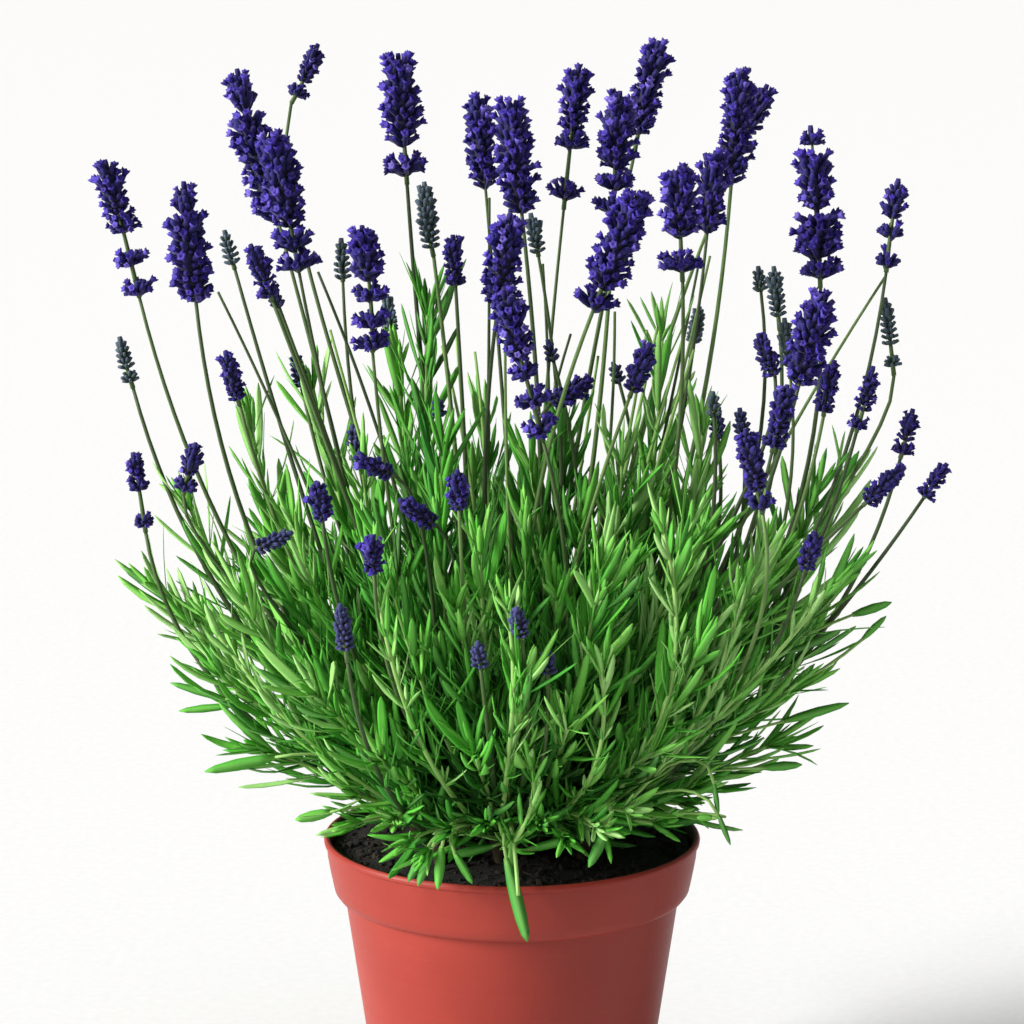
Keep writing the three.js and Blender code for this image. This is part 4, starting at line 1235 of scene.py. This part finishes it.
def add_stalks(shoots, stalks):
    """The flower stalks, with a few leaves low down."""
    for n, stalk in enumerate(stalks):
        rng = draws("stalks", n)
        turn = 2 * math.pi * draw(n + 500)
        piece, line = shoots[stalk["shoot"]], stalk["line"]
        stem_piece(piece, line[::2], STEM_FOOT_RADIUS, STEM_TOP_RADIUS, 8, rng.uniform(0.1, 0.65), turn)
        last = min(0.6, 62 / max(stalk["foot"][2] - POT_HEIGHT, 60))
        bright = rng.uniform(0.3, 0.6)
        piece.leaves += leaves_up(line, rng, turn, 0.85, 0.1, last, STALK_PAIR_SPACING, bright)


def add_buds(shoots, stalks):
    for n, stalk in enumerate(stalks):
        kind = DARK_BUD if stalk["head"]["tip"][1] < INSIDE_THE_BUSH else BUD
        add_spike(shoots[stalk["shoot"]], stalk, draws("buds", n), (kind, kind, STEM), 0.0, BUD_SPACING)


def add_free_leaves(shoots):
    for free in FREE_LEAVES:
        blade = seen_leaf(*free)
        shoot = shoot_of(blade["base"])
        shoots[shoot].leaves.append(blade)
        stem_piece(shoots[shoot], twig_to(blade, ROOTS[shoot]), 0.7, 0.5, 6, 0.9, 0.0)


def add_bare_stems(shoots):
    for n, (seen, depth, radius, tint) in enumerate(BARE_STEMS):
        passed = [placed(place, depth) for place in seen]
        shoot = shoot_of(passed[-1])
        line = curve([ROOTS[shoot] + UP * 0.5 * CROWN_HEIGHT, *passed], 25, 40)
        piece, rng = shoots[shoot], draws("bare_stems", n)
        stem_piece(piece, line, radius, 0.8 * radius, 6, tint, n)
        piece.leaves += leaves_up(line, rng, n, 0.5, 0.35, 0.95, BARE_STEM_PAIR_SPACING, 0.75)
        piece.leaves += tuft(line, rng, n, 0.7, 0.6)


def add_cut_stalks(shoots):
    for n, row in enumerate(CUT_STALKS + PALE_STALKS):
        stalk = stalk_of(row)
        tint, radius = 0.15 + 0.6 * draw(n + 40), CUT_STALK_RADIUS
        if n >= len(CUT_STALKS):
            tint, radius = 0.95, PALE_STALK_RADIUS
        stem_piece(shoots[stalk["shoot"]], stalk["line"][::2], radius, CUT_TOP_RADIUS, 5, tint, n)


def add_small_heads(shoots):
    for n, row in enumerate(SMALL_HEADS):
        stalk = stalk_of(row)
        piece = shoots[stalk["shoot"]]
        stem_piece(piece, stalk["line"][::2], 0.9, 0.55, 8, 0.5, 0.0)
        kinds = (DARK_BUD, DARK_BUD, STEM)
        add_spike(piece, stalk, draws("small_heads", n), kinds, 0.0, BUD_SPACING)


def build_flower(n, stalk, materials):
    piece = Piece()
    openness = 0.55 if stalk["head"]["wide"] >= FULL_HEAD else 0.22
    add_spike(piece, stalk, draws("flowers", n), (CALYX_LOOK, PETAL_LOOK, STALK_LOOK), openness)
    piece.build(f"spike_{n + 1:02d}", materials, "violet", [f"flower_{n + 1:02d}"])


def build_plant(materials, flower_materials):
    stalks = [stalk_of(row) for row in FLOWERS + BUDS]
    shoots = [Piece() for _ in ROOTS]
    for n, (piece, root) in enumerate(zip(shoots, ROOTS)):
        add_crown(piece, root)
        piece.leaves += basal_leaves(root, draws("basal", n))
    add_leafy_stems(shoots)
    add_stalks(shoots, stalks)
    add_buds(shoots, stalks[len(FLOWERS) :])
    add_free_leaves(shoots)
    add_bare_stems(shoots)
    add_cut_stalks(shoots)
    add_small_heads(shoots)
    for n, piece in enumerate(shoots):
        add_leaves(piece, [blade for blade in piece.leaves if blade["length"] >= SHORT_LEAF], LEAF, FULL_LEAF)
        add_leaves(piece, [blade for blade in piece.leaves if blade["length"] < SHORT_LEAF], LEAF, SMALL_LEAF)
        piece.build(f"leafy_shoot_{n + 1:02d}", materials, "green", [f"shoot_{n + 1:02d}"])
    for n, stalk in enumerate(stalks[: len(FLOWERS)]):
        build_flower(n, stalk, flower_materials)


# Stage


def build_floor(material, half=60.0):
    mesh = bpy.data.meshes.new("floor")
    corners = [(-half, -half, 0), (half, -half, 0), (half, half, 0), (-half, half, 0)]
    mesh.from_pydata(corners, [], [(0, 1, 2, 3)])
    mesh.materials.append(material)
    floor = shown("floor", mesh)


def add_sun(name, place, spread, strength, colour=(1.0, 1.0, 1.0)):
    """A far, wide light that shines from a place towards the plant, evenly over the floor."""
    light = bpy.data.lights.new(name, "SUN")
    light.angle = math.radians(spread)
    light.energy = strength
    light.color = colour
    lamp = shown(name, light)
    lamp.location = place
    lamp.rotation_euler = (-Vector(place)).to_track_quat("-Z", "Y").to_euler()


def build_world():
    world = bpy.data.worlds.new("studio")
    world.use_nodes = True
    background = world.node_tree.nodes["Background"]
    background.inputs["Color"].default_value = (1.0, 1.0, 1.0, 1.0)
    background.inputs["Strength"].default_value = WORLD_STRENGTH
    bpy.context.scene.world = world
    bpy.context.scene.view_settings.view_transform = "Standard"


def build_camera():
    """The camera stands where the line of sight starts."""
    camera = bpy.data.cameras.new("camera")
    camera.lens = LENS
    camera.sensor_width = SENSOR
    camera.clip_end = 200.0
    eye = shown("camera", camera)
    eye.location = Vector(EYE * MM)
    ahead = Vector((0.0, math.cos(SIGHT_PITCH), -math.sin(SIGHT_PITCH)))
    eye.rotation_euler = ahead.to_track_quat("-Z", "Y").to_euler()
    bpy.context.scene.camera = eye


build_pot(pot_material())
build_compost(
    [
        compost_material("compost", (8, 7, 6), (22, 18, 15), 130),
        compost_material("crumb_dark", (11, 9, 8), (30, 24, 19), 500),
        compost_material("crumb_brown", (24, 18, 13), (54, 41, 30), 500),
    ]
)
leaf_look, stem_look = leaf_material(), stem_material()
bud_look = calyx_material("bud", (0.0, 34, 52, 40), (0.5, 66, 88, 78), (1.0, 84, 94, 124))
dark_bud_look = calyx_material("dark_bud", (0.0, 24, 32, 46), (0.5, 44, 50, 94), (1.0, 72, 74, 134))
calyx_look = calyx_material("calyx", (0.0, 16, 18, 38), (0.45, 24, 21, 76), (1.0, 46, 36, 126))
build_plant([leaf_look, stem_look, bud_look, dark_bud_look], [calyx_look, petal_material(), stem_look])
build_floor(floor_material())
add_sun("key", (-1.75, -0.6, 0.8), 30, KEY_STRENGTH, (1.0, 0.99, 0.975))
add_sun("top", (0.1, -0.4, 1.5), 60, TOP_STRENGTH)
build_world()
build_camera()
